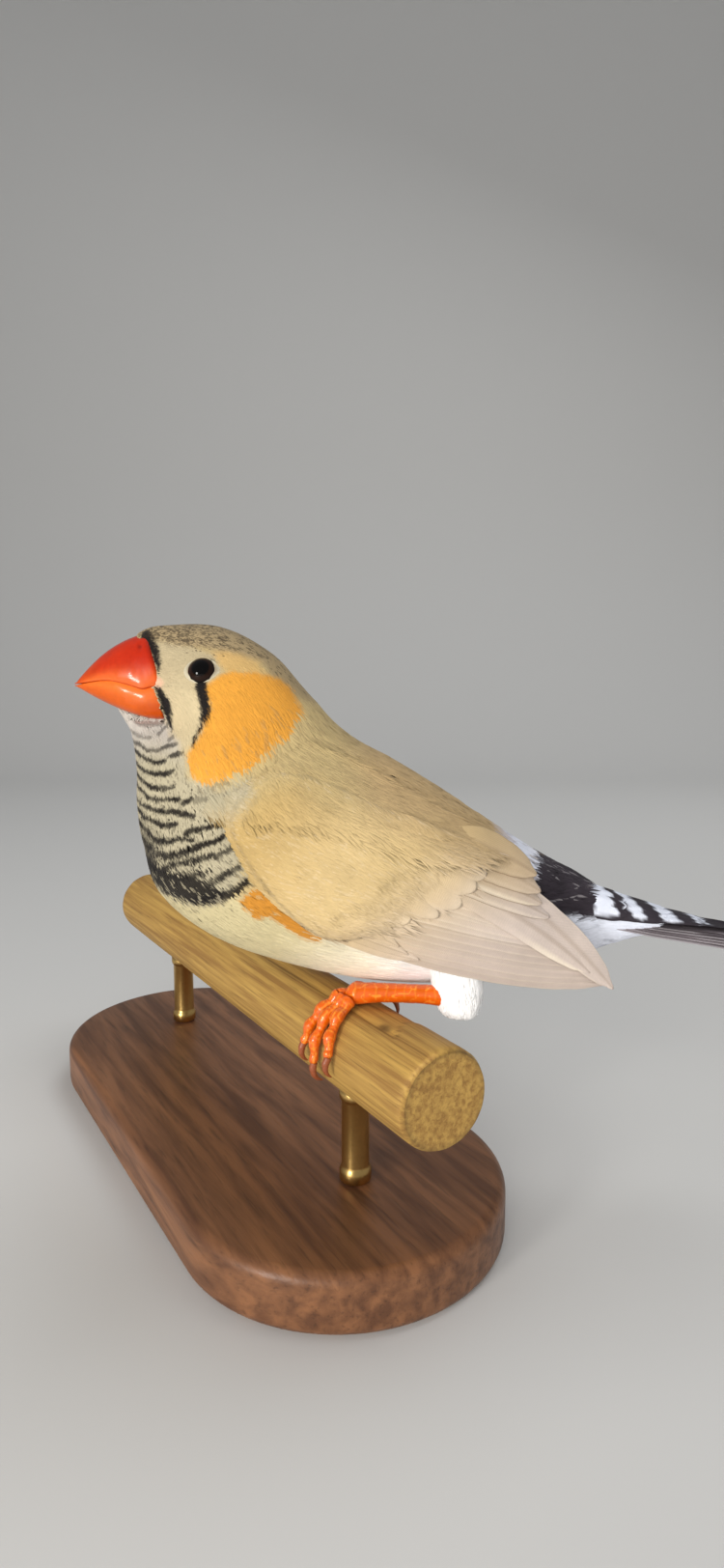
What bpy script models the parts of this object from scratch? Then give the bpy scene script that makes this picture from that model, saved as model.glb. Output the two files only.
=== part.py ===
"""A male zebra finch of the fawn colour, life size, resting on a cut length of wooden perch.

A flat base and two short rods hold the perch up. The bird faces -X and its left side
faces -Y. Sizes are millimetres in the bird's own frame, whose middle plane is y = 0, and
the meshes are written in metres. The row's origin is the centre of the base's underside.
"""

import bmesh
import bpy
import numpy as np

MM = 0.001
GAP = 0.3
BIRD_ORIGIN = np.array([18.3, -22.2, 62.0])

# Perch and stand
PERCH_RADIUS = 6.25
PERCH_LENGTH = 106.0
PERCH_TURN = np.radians(121.8)
PERCH_HEIGHT = 28.0
PERCH_EDGE = 0.8
BASE_THICKNESS = 8.0
BASE_WIDTH = 46.0
BASE_LENGTH = 104.0
BASE_EDGE = 1.6
ROD_RADIUS = 2.2
ROD_SPACING = 66.0

# Body stations from the bill to the tail: place, top (x, z), bottom (x, z), half width, egg
STATIONS = (
    ("inside the bill", (-31.1, 19.2), (-32.9, 10.3), 2.2, 0.0),
    ("forehead", (-29.0, 20.7), (-31.9, 8.6), 2.9, -0.15),
    ("brow", (-26.1, 21.3), (-31.2, 7.2), 3.45, -0.2),
    ("crown", (-18.9, 21.1), (-30.4, 4.6), 7.35, 0.02),
    ("hind crown", (-12.1, 17.6), (-30.1, 1.5), 9.5, 0.08),
    ("nape", (-7.1, 12.1), (-30.2, -2.7), 10.7, 0.05),
    ("hind neck", (-2.2, 7.0), (-29.5, -7.8), 12.2, 0.0),
    ("mantle", (4.9, 3.0), (-27.2, -14.8), 13.3, 0.0),
    ("shoulders", (12.1, -1.5), (-18.2, -21.4), 13.5, 0.0),
    ("back", (18.8, -6.0), (-1.4, -26.2), 11.8, 0.0),
    ("loins", (24.9, -9.8), (14.8, -27.2), 8.4, 0.0),
    ("rump", (27.6, -11.2), (22.6, -25.9), 6.4, 0.0),
    ("tail root", (29.7, -12.4), (29.0, -23.5), 4.9, 0.0),
)
TOP = np.array([s[1] for s in STATIONS])
BOTTOM = np.array([s[2] for s in STATIONS])
HALF_WIDTH = np.array([s[3] for s in STATIONS])
EGG = np.array([s[4] for s in STATIONS])
SECTION_POWER = 0.9
BODY_SIDES = 28
HEAD_END = 4.75
NECK_END = 5.9
CUT = 0.055
TORSO_END = 12.0

# Bill: distance back from the tip, culmen, mouth and gonys heights, half width
BILL_TIP_X = -38.7
BILL = np.array(
    [
        (0.3, 13.7, 13.45, 13.2, 0.22),
        (1.2, 14.7, 13.6, 12.75, 0.95),
        (2.6, 16.1, 13.8, 11.95, 1.75),
        (4.2, 17.5, 14.0, 11.15, 2.5),
        (6.0, 18.7, 14.0, 10.35, 3.2),
        (7.6, 19.5, 13.7, 9.75, 3.75),
        (9.0, 20.0, 12.9, 9.4, 4.1),
        (10.2, 20.3, 12.4, 9.2, 4.3),
        (11.4, 20.4, 13.0, 9.2, 4.35),
        (12.6, 20.4, 13.4, 9.3, 4.2),
    ]
)
BILL_SIDES = 11
MOUTH_GAP = 0.15
NOSTRIL = (-28.6, 18.1)
NOSTRIL_RADIUS = 0.45

# Eyes and lids
EYE_CENTRE = (-20.3, 15.2)
EYE_RADIUS = 2.2
EYE_DEPTH = 1.65
LID_RING = 2.0
LID_THICK = 0.42

# Folded wing: from the wrist to the wing's tip, and its own bulge off the middle plane
WRIST = np.array([-16.3, -3.1])
WING_TIP = np.array([32.7, -25.6])
WING_LENGTH = float(np.linalg.norm(WING_TIP - WRIST))
WING_ALONG = (WING_TIP - WRIST) / WING_LENGTH
WING_ACROSS = np.array([-WING_ALONG[1], WING_ALONG[0]])
WING_BULGE = (9.5, 13.2, 14.2, 13.6, 11.8, 9.4, 7.0)
WING_BEND = 0.045
WING_MIDDLE = -2.0
WING_CLEARANCE = 0.6
WING_BLEND = 1.2
VANE_THICK = 0.55

# Tail
TAIL_ROOT = np.array([29.9, -17.2])
TAIL_TIP_X = 61.2
TAIL_SLOPE = np.radians(-7.0)
RECTRIX_PAIRS = 6

# Wing plan in (along, across) places: the covered arm's outline, then each row of feathers
# as count, first and last root, first and last tip, half width, first and last depth, bow
WING_SHELL = (
    (-0.7, 2.0),
    (0.3, -0.5),
    (2.8, -2.5),
    (6.2, -4.7),
    (10.0, -6.3),
    (14.5, -7.8),
    (18.5, -7.2),
    (21.5, -4.2),
    (23.3, 0.0),
    (23.6, 4.5),
    (21.5, 7.8),
    (16.5, 9.0),
    (11.0, 9.2),
    (6.0, 9.0),
    (2.5, 7.8),
    (0.0, 5.0),
)
WING_ROWS = (
    ("primaries", 6, (14.0, -6.0), (15.0, -1.6), (53.6, -0.1), (46.5, 2.9), 1.9, 0.1, 0.75, -0.8),
    ("secondaries", 5, (15.5, -0.8), (18.5, 4.0), (45.4, 3.1), (41.2, 4.2), 2.1, 0.95, 1.35, -0.5),
    ("tertials", 3, (18.0, 4.2), (18.5, 6.2), (40.6, 5.0), (33.5, 7.2), 2.6, 1.4, 1.8, 0.6),
    ("primary coverts", 2, (12.5, -6.4), (12.5, -4.9), (26.5, -5.7), (24.0, -4.5), 1.1, 0.8, 1.1, -0.5),
    ("greater coverts", 5, (12.5, -4.6), (19.5, 4.6), (22.0, -4.4), (30.0, 4.0), 1.7, 1.4, 1.9, -0.5),
    ("median coverts", 5, (8.5, -4.4), (13.0, 5.2), (16.0, -5.2), (22.2, 4.4), 1.6, 1.9, 2.2, -0.4),
    ("scapulars", 3, (11.0, 7.0), (8.0, 4.6), (30.5, 7.4), (20.5, 6.4), 2.0, 1.5, 2.5, 0.4),
)

# Legs: the left foot stands, the right one is drawn up with its toes closed.
# Each foot holds a rod: its point, direction, forward direction, radius and toe angles.
LEG_Y = 9.0
TARSUS_RADIUS = 1.35
TOE_RADIUS = 0.82
PERCH_AXIS = np.array([np.cos(PERCH_TURN), np.sin(PERCH_TURN), 0.0])
PERCH_FRONT = np.array([-np.sin(PERCH_TURN), np.cos(PERCH_TURN), 0.0])
PERCH_FOOT = np.array([2.3, -11.0, PERCH_HEIGHT - BIRD_ORIGIN[2]])
FEET = {
    "left": {
        "side": -1,
        "hold": (PERCH_FOOT + 4.2 * PERCH_AXIS, PERCH_AXIS, PERCH_FRONT, PERCH_RADIUS),
        "start": 22.0,
        "curl": 1.0,
        "hock": (12.6, -LEG_Y, -26.9),
        "thigh": (12.9, -8.9, -29.9, -20.5),
    },
    "right": {
        "side": 1,
        "hold": ((-0.4, 9.6, -24.9), (0.17, 0.985, 0.0), (-0.985, 0.17, 0.0), 1.0),
        "start": 5.0,
        "curl": 2.4,
        "hock": (11.6, 9.2, -23.6),
        "thigh": (12.4, 8.8, -27.0, -19.0),
    },
}
TOES = {
    "inner": (1.2, 3.0, 62, 20),
    "middle": (0.0, 0.3, 76, 22),
    "outer": (-1.2, -3.3, 60, 20),
    "hind": (1.0, 1.6, -66, -30),
}

COLOURS = {
    "plumage_grey": ((0.55, 0.52, 0.44), 0.85),
    "plumage_white": ((0.85, 0.84, 0.78), 0.85),
    "plumage_fawn": ((0.62, 0.50, 0.34), 0.8),
    "plumage_dark": ((0.08, 0.07, 0.07), 0.8),
    "bill_red": ((0.85, 0.16, 0.03), 0.3),
    "bill_orange": ((0.93, 0.32, 0.04), 0.3),
    "leg_orange": ((0.93, 0.30, 0.06), 0.5),
    "eye_dark": ((0.02, 0.015, 0.012), 0.08),
    "perch_wood": ((0.55, 0.40, 0.20), 0.7),
    "stand_wood": ((0.23, 0.14, 0.08), 0.45),
    "rod_brass": ((0.60, 0.45, 0.22), 0.35),
}


def clear_scene():
    for obj in list(bpy.data.objects):
        bpy.data.objects.remove(obj, do_unlink=True)


def new_collection(name, hidden=False):
    collection = bpy.data.collections.new(name)
    bpy.context.scene.collection.children.link(collection)
    collection.hide_render = hidden
    return collection


def material(name):
    """One Principled material for each finish, made once."""
    found = bpy.data.materials.get(name)
    if found:
        return found
    colour, roughness = COLOURS[name]
    made = bpy.data.materials.new(name)
    made.use_nodes = True
    shader = made.node_tree.nodes["Principled BSDF"]
    shader.inputs["Base Color"].default_value = (*colour, 1.0)
    shader.inputs["Roughness"].default_value = roughness
    shader.inputs["Metallic"].default_value = 1.0 if name == "rod_brass" else 0.0
    return made


def finish_mesh(mesh):
    """Points every face of a closed mesh outwards."""
    shape = bmesh.new()
    shape.from_mesh(mesh)
    bmesh.ops.recalc_face_normals(shape, faces=shape.faces)
    shape.to_mesh(mesh)
    shape.free()


def new_solid(name, points, faces, finish, group, parent):
    """A mesh object from points in millimetres, hung on its parent empty."""
    mesh = bpy.data.meshes.new(name)
    mesh.from_pydata((np.asarray(points, float) * MM).tolist(), [], faces)
    finish_mesh(mesh)
    mesh.materials.append(material(finish))
    obj = bpy.data.objects.new(name, mesh)
    group.objects.link(obj)
    obj.parent = parent
    return obj


def loft(rings):
    """Points and faces of a closed surface through rings, with a fan of triangles on each end."""
    rings = np.asarray(rings, float)
    count, around = rings.shape[:2]
    ends = np.array([rings[0].mean(0), rings[-1].mean(0)])
    points = np.concatenate([rings.reshape(-1, 3), ends])
    faces = []
    for row in range(count - 1):
        for col in range(around):
            nxt = (col + 1) % around
            a, b = row * around + col, row * around + nxt
            faces.append((a, b, b + around, a + around))
    for col in range(around):
        nxt = (col + 1) % around
        last = (count - 1) * around
        faces.append((nxt, col, count * around))
        faces.append((last + col, last + nxt, count * around + 1))
    return points, faces


def smooth(values, s):
    """A Catmull-Rom curve through evenly spaced values, read at s."""
    v = np.asarray(values, float)
    s = np.clip(np.asarray(s, float), 0, len(v) - 1)
    i = np.minimum(s.astype(int), len(v) - 2)
    f = (s - i).reshape(s.shape + (1,) * (v.ndim - 1))
    pad = np.concatenate([2 * v[:1] - v[1:2], v, 2 * v[-1:] - v[-2:-1]])
    p0, p1, p2, p3 = pad[i], pad[i + 1], pad[i + 2], pad[i + 3]
    bend = 2 * p0 - 5 * p1 + 4 * p2 - p3
    twist = 3 * (p1 - p2) + p3 - p0
    return p1 + 0.5 * f * (p2 - p0 + f * (bend + f * twist))


def union(name, pieces, finish, group, parent):
    """Joins closed pieces into one body: a Boolean union on their collection, applied."""
    body, rest = pieces[0], pieces[1:]
    others = new_collection(name + "_pieces")
    for piece in rest:
        group.objects.unlink(piece)
        others.objects.link(piece)
    return applied(name, body, "UNION", others, finish, group, parent)


def difference(name, body, cutters, finish, group, parent):
    """Cuts every closed cutter away from the body, applied."""
    others = new_collection(name + "_cutters")
    for piece in cutters:
        group.objects.unlink(piece)
        others.objects.link(piece)
    return applied(name, body, "DIFFERENCE", others, finish, group, parent)


def applied(name, body, operation, others, finish, group, parent):
    """Applies a Boolean with a collection, removes the collection, keeps the largest body."""
    cut = body.modifiers.new("join", "BOOLEAN")
    cut.operation = operation
    cut.solver = "MANIFOLD"
    cut.operand_type = "COLLECTION"
    cut.collection = others
    graph = bpy.context.evaluated_depsgraph_get()
    mesh = bpy.data.meshes.new_from_object(body.evaluated_get(graph), depsgraph=graph)
    for piece in [*others.objects, body]:
        bpy.data.objects.remove(piece, do_unlink=True)
    bpy.data.collections.remove(others)
    keep_largest(mesh)
    mesh.name = name
    mesh.materials.clear()
    mesh.materials.append(material(finish))
    obj = bpy.data.objects.new(name, mesh)
    group.objects.link(obj)
    obj.parent = parent
    return obj


def keep_largest(mesh):
    """Drops sealed hollows and loose scraps: only the closed surface of largest volume stays."""
    shape = bmesh.new()
    shape.from_mesh(mesh)
    left = set(shape.faces)
    shells = []
    while left:
        front = [left.pop()]
        shell = list(front)
        while front:
            near = {f for e in front.pop().edges for f in e.link_faces} & left
            left -= near
            front.extend(near)
            shell.extend(near)
        shells.append(shell)

    def volume(shell):
        total = 0.0
        for face in shell:
            corners = [v.co for v in face.verts]
            for one, two in zip(corners[1:-1], corners[2:]):
                total += corners[0].dot(one.cross(two))
        return total

    shells.sort(key=volume, reverse=True)
    loose = [face for shell in shells[1:] for face in shell]
    bmesh.ops.delete(shape, geom=loose, context="FACES")
    bmesh.ops.triangulate(shape, faces=shape.faces)
    shape.to_mesh(mesh)
    shape.free()


def body_point(s, angle, swell=0.0):
    """The plumage surface at station s and angle round the section, grown by swell."""
    top, bottom = smooth(TOP, s), smooth(BOTTOM, s)
    half = (top - bottom) / 2
    reach = np.linalg.norm(half, axis=-1)
    lift = np.sign(np.sin(angle)) * np.abs(np.sin(angle)) ** SECTION_POWER
    side = np.sign(np.cos(angle)) * np.abs(np.cos(angle)) ** SECTION_POWER
    middle = (top + bottom) / 2
    place = middle + half * ((reach + swell) / reach * lift)[..., None]
    width = (smooth(HALF_WIDTH, s) + swell) * (1 - smooth(EGG, s) * lift)
    return np.stack([place[..., 0], width * side, place[..., 1]], -1)


def body_half_width(x, z):
    """Half width of the body at a point of its side view, nought outside the outline."""
    x, z = np.broadcast_arrays(np.asarray(x, float), np.asarray(z, float))
    low = np.zeros(x.shape)
    high = np.full(x.shape, TORSO_END)
    for _ in range(26):
        s = (low + high) / 2
        top, bottom = smooth(TOP, s), smooth(BOTTOM, s)
        rise = top - bottom
        ahead = rise[..., 0] * (z - bottom[..., 1]) - rise[..., 1] * (x - bottom[..., 0])
        low = np.where(ahead < 0, s, low)
        high = np.where(ahead < 0, high, s)
    top, bottom = smooth(TOP, low), smooth(BOTTOM, low)
    rise = top - bottom
    share = (x - bottom[..., 0]) * rise[..., 0] + (z - bottom[..., 1]) * rise[..., 1]
    lift = 2 * share / (rise**2).sum(-1) - 1
    power = 2 / SECTION_POWER
    room = np.clip(1 - np.abs(lift) ** power, 0, 1) ** (1 / power)
    return smooth(HALF_WIDTH, low) * room * (1 - smooth(EGG, low) * lift)


def body_rings(start, end, count, swell=0.0):
    s = np.linspace(start, end, count)[:, None]
    angle = np.linspace(0, 2 * np.pi, BODY_SIDES, endpoint=False)[None, :]
    s, angle = np.broadcast_arrays(s, angle)
    return body_point(s, angle, swell)


def bill_rings(half, swell=0.0):
    """Cross-sections of one mandible, or of the whole bill, from the tip back."""
    angle = np.linspace(0, np.pi, BILL_SIDES)
    rings = []
    for back, culmen, mouth, gonys, width in BILL:
        x = BILL_TIP_X + back
        square = 0.88 - 0.4 * min(back / 9.0, 1.0)
        roof = np.sin(angle) ** 0.9
        floor = np.sin(angle) ** square
        side = np.sign(np.cos(angle)) * np.abs(np.cos(angle)) ** 0.85
        jaw = np.sign(np.cos(angle)) * np.abs(np.cos(angle)) ** square
        if half == "upper":
            y = width * side
            z = mouth + MOUTH_GAP + (culmen - mouth - MOUTH_GAP) * roof
        elif half == "lower":
            y = 0.93 * width * jaw
            z = mouth - MOUTH_GAP - (mouth - gonys - MOUTH_GAP) * floor
        else:
            y = np.concatenate([side, jaw[-2:0:-1]]) * (width + swell)
            up = mouth + (culmen - mouth + swell) * roof
            down = mouth - (mouth - gonys + swell) * floor
            z = np.concatenate([up, down[-2:0:-1]])
        rings.append(np.stack([np.full(len(y), x), y, z], -1))
    if half == "whole":
        rings.append(rings[-1] + np.array([swell, 0, 0]))
    return np.array(rings)


def make_bill(group, parent):
    for half, finish in (("upper", "bill_red"), ("lower", "bill_orange")):
        points, faces = loft(bill_rings(half))
        name = "bill_" + half
        bill = new_solid(name, points, faces, finish, group, parent)
        if half == "upper":
            holes = [nostril(side, group, parent) for side in (-1, 1)]
            difference(name, bill, holes, finish, group, parent)


def nostril(side, group, parent):
    """A short round cutter that sinks into the side of the upper mandible."""
    width = np.interp(NOSTRIL[0] - BILL_TIP_X, BILL[:, 0], BILL[:, 4])
    angle = np.linspace(0, 2 * np.pi, 8, endpoint=False)
    rings = []
    for y in (width * 0.35, width * 1.3):
        x = NOSTRIL[0] + NOSTRIL_RADIUS * np.cos(angle)
        z = NOSTRIL[1] + NOSTRIL_RADIUS * np.sin(angle)
        rings.append(np.stack([x, np.full(8, side * y), z], -1))
    points, faces = loft(rings)
    return new_solid("nostril_cutter", points, faces, "eye_dark", group, parent)


def sphere(name, centre, radius, finish, group, parent, sides=16):
    """A ball from Blender's own sphere, placed by its object."""
    mesh = bpy.data.meshes.new(name)
    shape = bmesh.new()
    bmesh.ops.create_uvsphere(
        shape, u_segments=sides, v_segments=sides // 2, radius=radius * MM
    )
    bmesh.ops.translate(shape, verts=shape.verts, vec=tuple(np.array(centre) * MM))
    shape.to_mesh(mesh)
    shape.free()
    mesh.materials.append(material(finish))
    obj = bpy.data.objects.new(name, mesh)
    group.objects.link(obj)
    obj.parent = parent
    return obj


def eye_place(side):
    """Centre of the eyeball, sunk below the head's surface."""
    surface = float(body_half_width(*EYE_CENTRE))
    return (EYE_CENTRE[0], side * (surface - EYE_DEPTH), EYE_CENTRE[1])


def lid(side, group, parent):
    """The ring of the lids, an almond drawn out behind the eye, lying on the head."""
    turn = np.linspace(0, 2 * np.pi, 18, endpoint=False)
    reach_x = LID_RING * (1 + 0.22 * np.clip(np.cos(turn), 0, 1) ** 3)
    x = EYE_CENTRE[0] + reach_x * np.cos(turn)
    z = EYE_CENTRE[1] + LID_RING * 0.9 * np.sin(turn)
    y = body_half_width(x, z)
    middle = np.array([EYE_CENTRE[0], float(body_half_width(*EYE_CENTRE)), EYE_CENTRE[1]])
    centre = np.stack([x, y, z], -1)
    out = centre - middle
    out /= np.linalg.norm(out, axis=1, keepdims=True)
    rings = []
    for small in np.linspace(0, 2 * np.pi, 5, endpoint=False):
        lift = np.array([0, 1.0, 0]) * (LID_THICK * np.sin(small))
        rings.append(centre + out * (LID_THICK * np.cos(small)) + lift)
    rings = np.array(rings).transpose(1, 0, 2) * np.array([1, side, 1])
    count, around = rings.shape[:2]
    faces = []
    for row in range(count):
        for col in range(around):
            down, nxt = (row + 1) % count, (col + 1) % around
            faces.append(
                (
                    row * around + col,
                    row * around + nxt,
                    down * around + nxt,
                    down * around + col,
                )
            )
    return new_solid(
        "lid_ring", rings.reshape(-1, 3), faces, "plumage_grey", group, parent
    )


def make_head(group, parent):
    """The head with its lids, cut clear of the bill and of both eyes."""
    points, faces = loft(body_rings(0.0, HEAD_END - CUT, 15))
    head = new_solid("head_core", points, faces, "plumage_grey", group, parent)
    lids = [lid(side, group, parent) for side in (-1, 1)]
    head = union("head_lids", [head, *lids], "plumage_grey", group, parent)
    points, faces = loft(bill_rings("whole", GAP))
    cutters = [new_solid("bill_cutter", points, faces, "bill_red", group, parent)]
    for side in (-1, 1):
        place = eye_place(side)
        cutters.append(
            sphere(
                "eye_cutter", place, EYE_RADIUS + GAP + 0.03, "eye_dark", group, parent, 18
            )
        )
        name = "eye_left" if side < 0 else "eye_right"
        sphere(name, place, EYE_RADIUS, "eye_dark", group, parent)
    difference("head", head, cutters, "plumage_grey", group, parent)


def make_body(group, parent):
    points, faces = loft(body_rings(HEAD_END + CUT, NECK_END - CUT, 5))
    new_solid("neck", points, faces, "plumage_grey", group, parent)
    points, faces = loft(body_rings(NECK_END + CUT, TORSO_END, 17))
    torso = new_solid("torso_core", points, faces, "plumage_white", group, parent)
    foot = FEET["right"]
    hold = foot["hold"]
    pad = on_rod(hold, 0.0, np.radians(foot["start"] - 3), GAP + 0.1 + 1.3)
    shank = loft(leg_shank(pad, np.array(foot["hock"]), GAP))
    cutters = [
        sphere("fist_room", hold[0], 4.5, "leg_orange", group, parent, 14),
        sphere("pad_room", pad, 1.7, "leg_orange", group, parent, 12),
        new_solid("shank_room", *shank, "leg_orange", group, parent),
    ]
    difference("torso", torso, cutters, "plumage_white", group, parent)


def wing_inner(x, z):
    """How far the wing's inner face stands off the middle plane: just clear of the body
    where the body is, and the wing's own bulge beyond the body's outline."""
    along = (x - WRIST[0]) * WING_ALONG[0] + (z - WRIST[1]) * WING_ALONG[1]
    across = (x - WRIST[0]) * WING_ACROSS[0] + (z - WRIST[1]) * WING_ACROSS[1]
    share = along / WING_LENGTH * (len(WING_BULGE) - 1)
    own = smooth(WING_BULGE, share) - WING_BEND * (across - WING_MIDDLE) ** 2
    body = body_half_width(x, z) + WING_CLEARANCE
    return (own + body + np.sqrt((own - body) ** 2 + WING_BLEND**2)) / 2


def wing_point(side):
    """Maps (distance along the wing, distance across it, depth off its inner face)."""

    def place(spot, depth):
        spot = np.asarray(spot, float)
        flat = WRIST + spot[..., :1] * WING_ALONG + spot[..., 1:] * WING_ACROSS
        x, z = flat[..., 0], flat[..., 1]
        step = 0.4
        y = wing_inner(x, z)
        slope_x = (wing_inner(x + step, z) - wing_inner(x - step, z)) / (2 * step)
        slope_z = (wing_inner(x, z + step) - wing_inner(x, z - step)) / (2 * step)
        normal = np.stack([-slope_x, np.ones_like(y), -slope_z], -1)
        normal /= np.linalg.norm(normal, axis=-1, keepdims=True)
        point = np.stack([x, y, z], -1) + normal * np.asarray(depth)[..., None]
        return point * np.array([1, side, 1])

    return place


def vane(surface, root, tip, half_width, depth, bow=0.0, tilt=0.0, steps=5, blunt=0.3):
    """One feather as a thin closed strip on a surface, split alike on both faces.

    root and tip are places on the surface, depth the two ends' height over it, bow the
    sideways curve of the shaft, and tilt how much higher the lower edge lies.
    """
    root, tip = np.asarray(root, float), np.asarray(tip, float)
    t = 1 - (1 - np.linspace(0, 1, steps + 1)[:, None]) ** 1.6
    chord = tip - root
    square = np.array([-chord[1], chord[0]]) / np.linalg.norm(chord)
    shaft = root + chord * t + square * (4 * bow * t * (1 - t))
    along = np.gradient(shaft, axis=0)
    along /= np.linalg.norm(along, axis=1, keepdims=True)
    across = np.stack([-along[:, 1], along[:, 0]], -1)
    opening = 0.55 + 0.45 * np.clip(t / 0.35, 0, 1)
    closing = np.clip((t - 0.6) / 0.4, 0, 1) ** 2.4
    reach = half_width * opening * (1 - (1 - blunt) * closing)
    height = depth[0] + (depth[1] - depth[0]) * t[:, 0]
    thick = VANE_THICK * (1 - 0.45 * np.clip((t[:, 0] - 0.75) / 0.25, 0, 1))
    low, high = shaft - across * reach, shaft + across * reach
    corners = [
        surface(low, height + tilt),
        surface(high, height),
        surface(high, height + thick),
        surface(low, height + tilt + thick),
    ]
    points = np.stack(corners, 1).reshape(-1, 3)
    faces = [(0, 1, 2), (0, 2, 3)]
    for k in range(steps):
        a, b = 4 * k, 4 * k + 4
        for i, j in ((0, 1), (1, 2), (3, 2), (0, 3)):
            faces.append((a + i, a + j, b + j))
            faces.append((a + i, b + j, b + i))
    last = 4 * steps
    faces += [(last, last + 2, last + 1), (last, last + 3, last + 2)]
    return points, faces


def wing_vanes():
    """Root, tip, half width, depths, bow, tilt and steps of each feather of a folded wing."""
    vanes = []
    for row in WING_ROWS:
        _, count, root_a, root_b, tip_a, tip_b, half_width, low, high, bow = row
        for share in np.linspace(0, 1, count):
            root = np.array(root_a) * (1 - share) + np.array(root_b) * share
            tip = np.array(tip_a) * (1 - share) + np.array(tip_b) * share
            depth = low + (high - low) * share
            steps = 4 if "coverts" in row[0] else 5
            vanes.append((root, tip, half_width, (depth, depth), bow, 0.3, steps))
    return vanes


def wing_shell(side, group, parent):
    """The covered arm of the wing, a low dome on the body's side."""
    surface = wing_point(side)
    closed = np.array([*WING_SHELL, WING_SHELL[0]])
    outline = smooth(closed, np.linspace(0, len(WING_SHELL), 21)[:-1])
    centre = outline.mean(0)
    around = len(outline)
    layers = [(share, 0.0) for share in (0.5, 1.0)]
    layers += [(1.0, 0.3), (0.94, 1.15), (0.78, 1.85), (0.52, 2.35), (0.25, 2.55)]
    points = []
    for share, height in layers:
        ring = centre + (outline - centre) * share
        points.append(surface(ring, np.full(around, height)))
    points.append(surface(np.array([centre, centre]), np.array([0.0, 2.6])))
    points = np.concatenate(points)
    faces = []
    for row in range(len(layers) - 1):
        for col in range(around):
            nxt = (col + 1) % around
            a, b = row * around + col, row * around + nxt
            faces.append((a, b, b + around))
            faces.append((a, b + around, a + around))
    last = (len(layers) - 1) * around
    for col in range(around):
        nxt = (col + 1) % around
        faces.append((nxt, col, len(points) - 2))
        faces.append((last + col, last + nxt, len(points) - 1))
    return new_solid("wing_shell", points, faces, "plumage_fawn", group, parent)


def make_wing(side, group, parent):
    surface = wing_point(side)
    pieces = [wing_shell(side, group, parent)]
    for plan in wing_vanes():
        points, faces = vane(surface, *plan)
        pieces.append(new_solid("vane", points, faces, "plumage_fawn", group, parent))
    name = "wing_left" if side < 0 else "wing_right"
    union(name, pieces, "plumage_fawn", group, parent)


def deck(height, sag):
    """A surface over the tail: spot is (x, y), height gives z along x, and it sags sideways."""

    def place(spot, depth):
        x, y = spot[..., 0], spot[..., 1]
        z = height(x) - sag * y**2 + depth
        return np.stack([x, y, z], -1)

    return place


def tail_height(x):
    return TAIL_ROOT[1] + np.tan(TAIL_SLOPE) * (x - TAIL_ROOT[0])


def slab_core(x, low, high, half_width, sides=14):
    """Rings of a core that runs along x between two heights."""
    turn = np.linspace(0, 2 * np.pi, sides, endpoint=False)
    rings = []
    for one in zip(x, low, high, half_width):
        middle, half = (one[1] + one[2]) / 2, (one[2] - one[1]) / 2
        y = one[3] * np.cos(turn)
        z = middle + half * np.sign(np.sin(turn)) * np.abs(np.sin(turn)) ** 0.7
        rings.append(np.stack([np.full(sides, one[0]), y, z], -1))
    return loft(rings)


def make_tail(group, parent):
    """Twelve tail feathers: the middle pair on top, each outer pair a layer lower."""
    start = TAIL_ROOT[0]
    surface = deck(tail_height, 0.012)
    x = np.array([start, start + 3.0, start + 6.0])
    top = tail_height(x) - 0.05
    core = slab_core(x, top - 1.6, top, np.array([4.3, 3.8, 2.4]))
    pieces = [new_solid("tail_core", *core, "plumage_dark", group, parent)]
    for k in range(RECTRIX_PAIRS):
        for side in (-1, 1):
            root = (start + 0.8, side * (0.5 + 0.3 * k))
            tip = (TAIL_TIP_X - 0.28 * k, side * (1.0 + 0.52 * k))
            depth = (-0.6 - 0.18 * k, -0.6 - 0.47 * k - 0.05 * (side > 0))
            bow = -side * 0.25
            points, faces = vane(
                surface, root, tip, 2.5, depth, bow, 0.12 * -side, 6, 0.4
            )
            pieces.append(
                new_solid("rectrix", points, faces, "plumage_dark", group, parent)
            )
    union("tail", pieces, "plumage_dark", group, parent)


def upper_covert_height(x):
    """Top line of the barred feathers over the tail."""
    places = (29.5, 35.0, 41.0, 46.0, 50.3, 55.0)
    return np.interp(x, places, (-12.9, -14.7, -16.6, -17.9, -19.2, -20.4)) - 0.5


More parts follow.
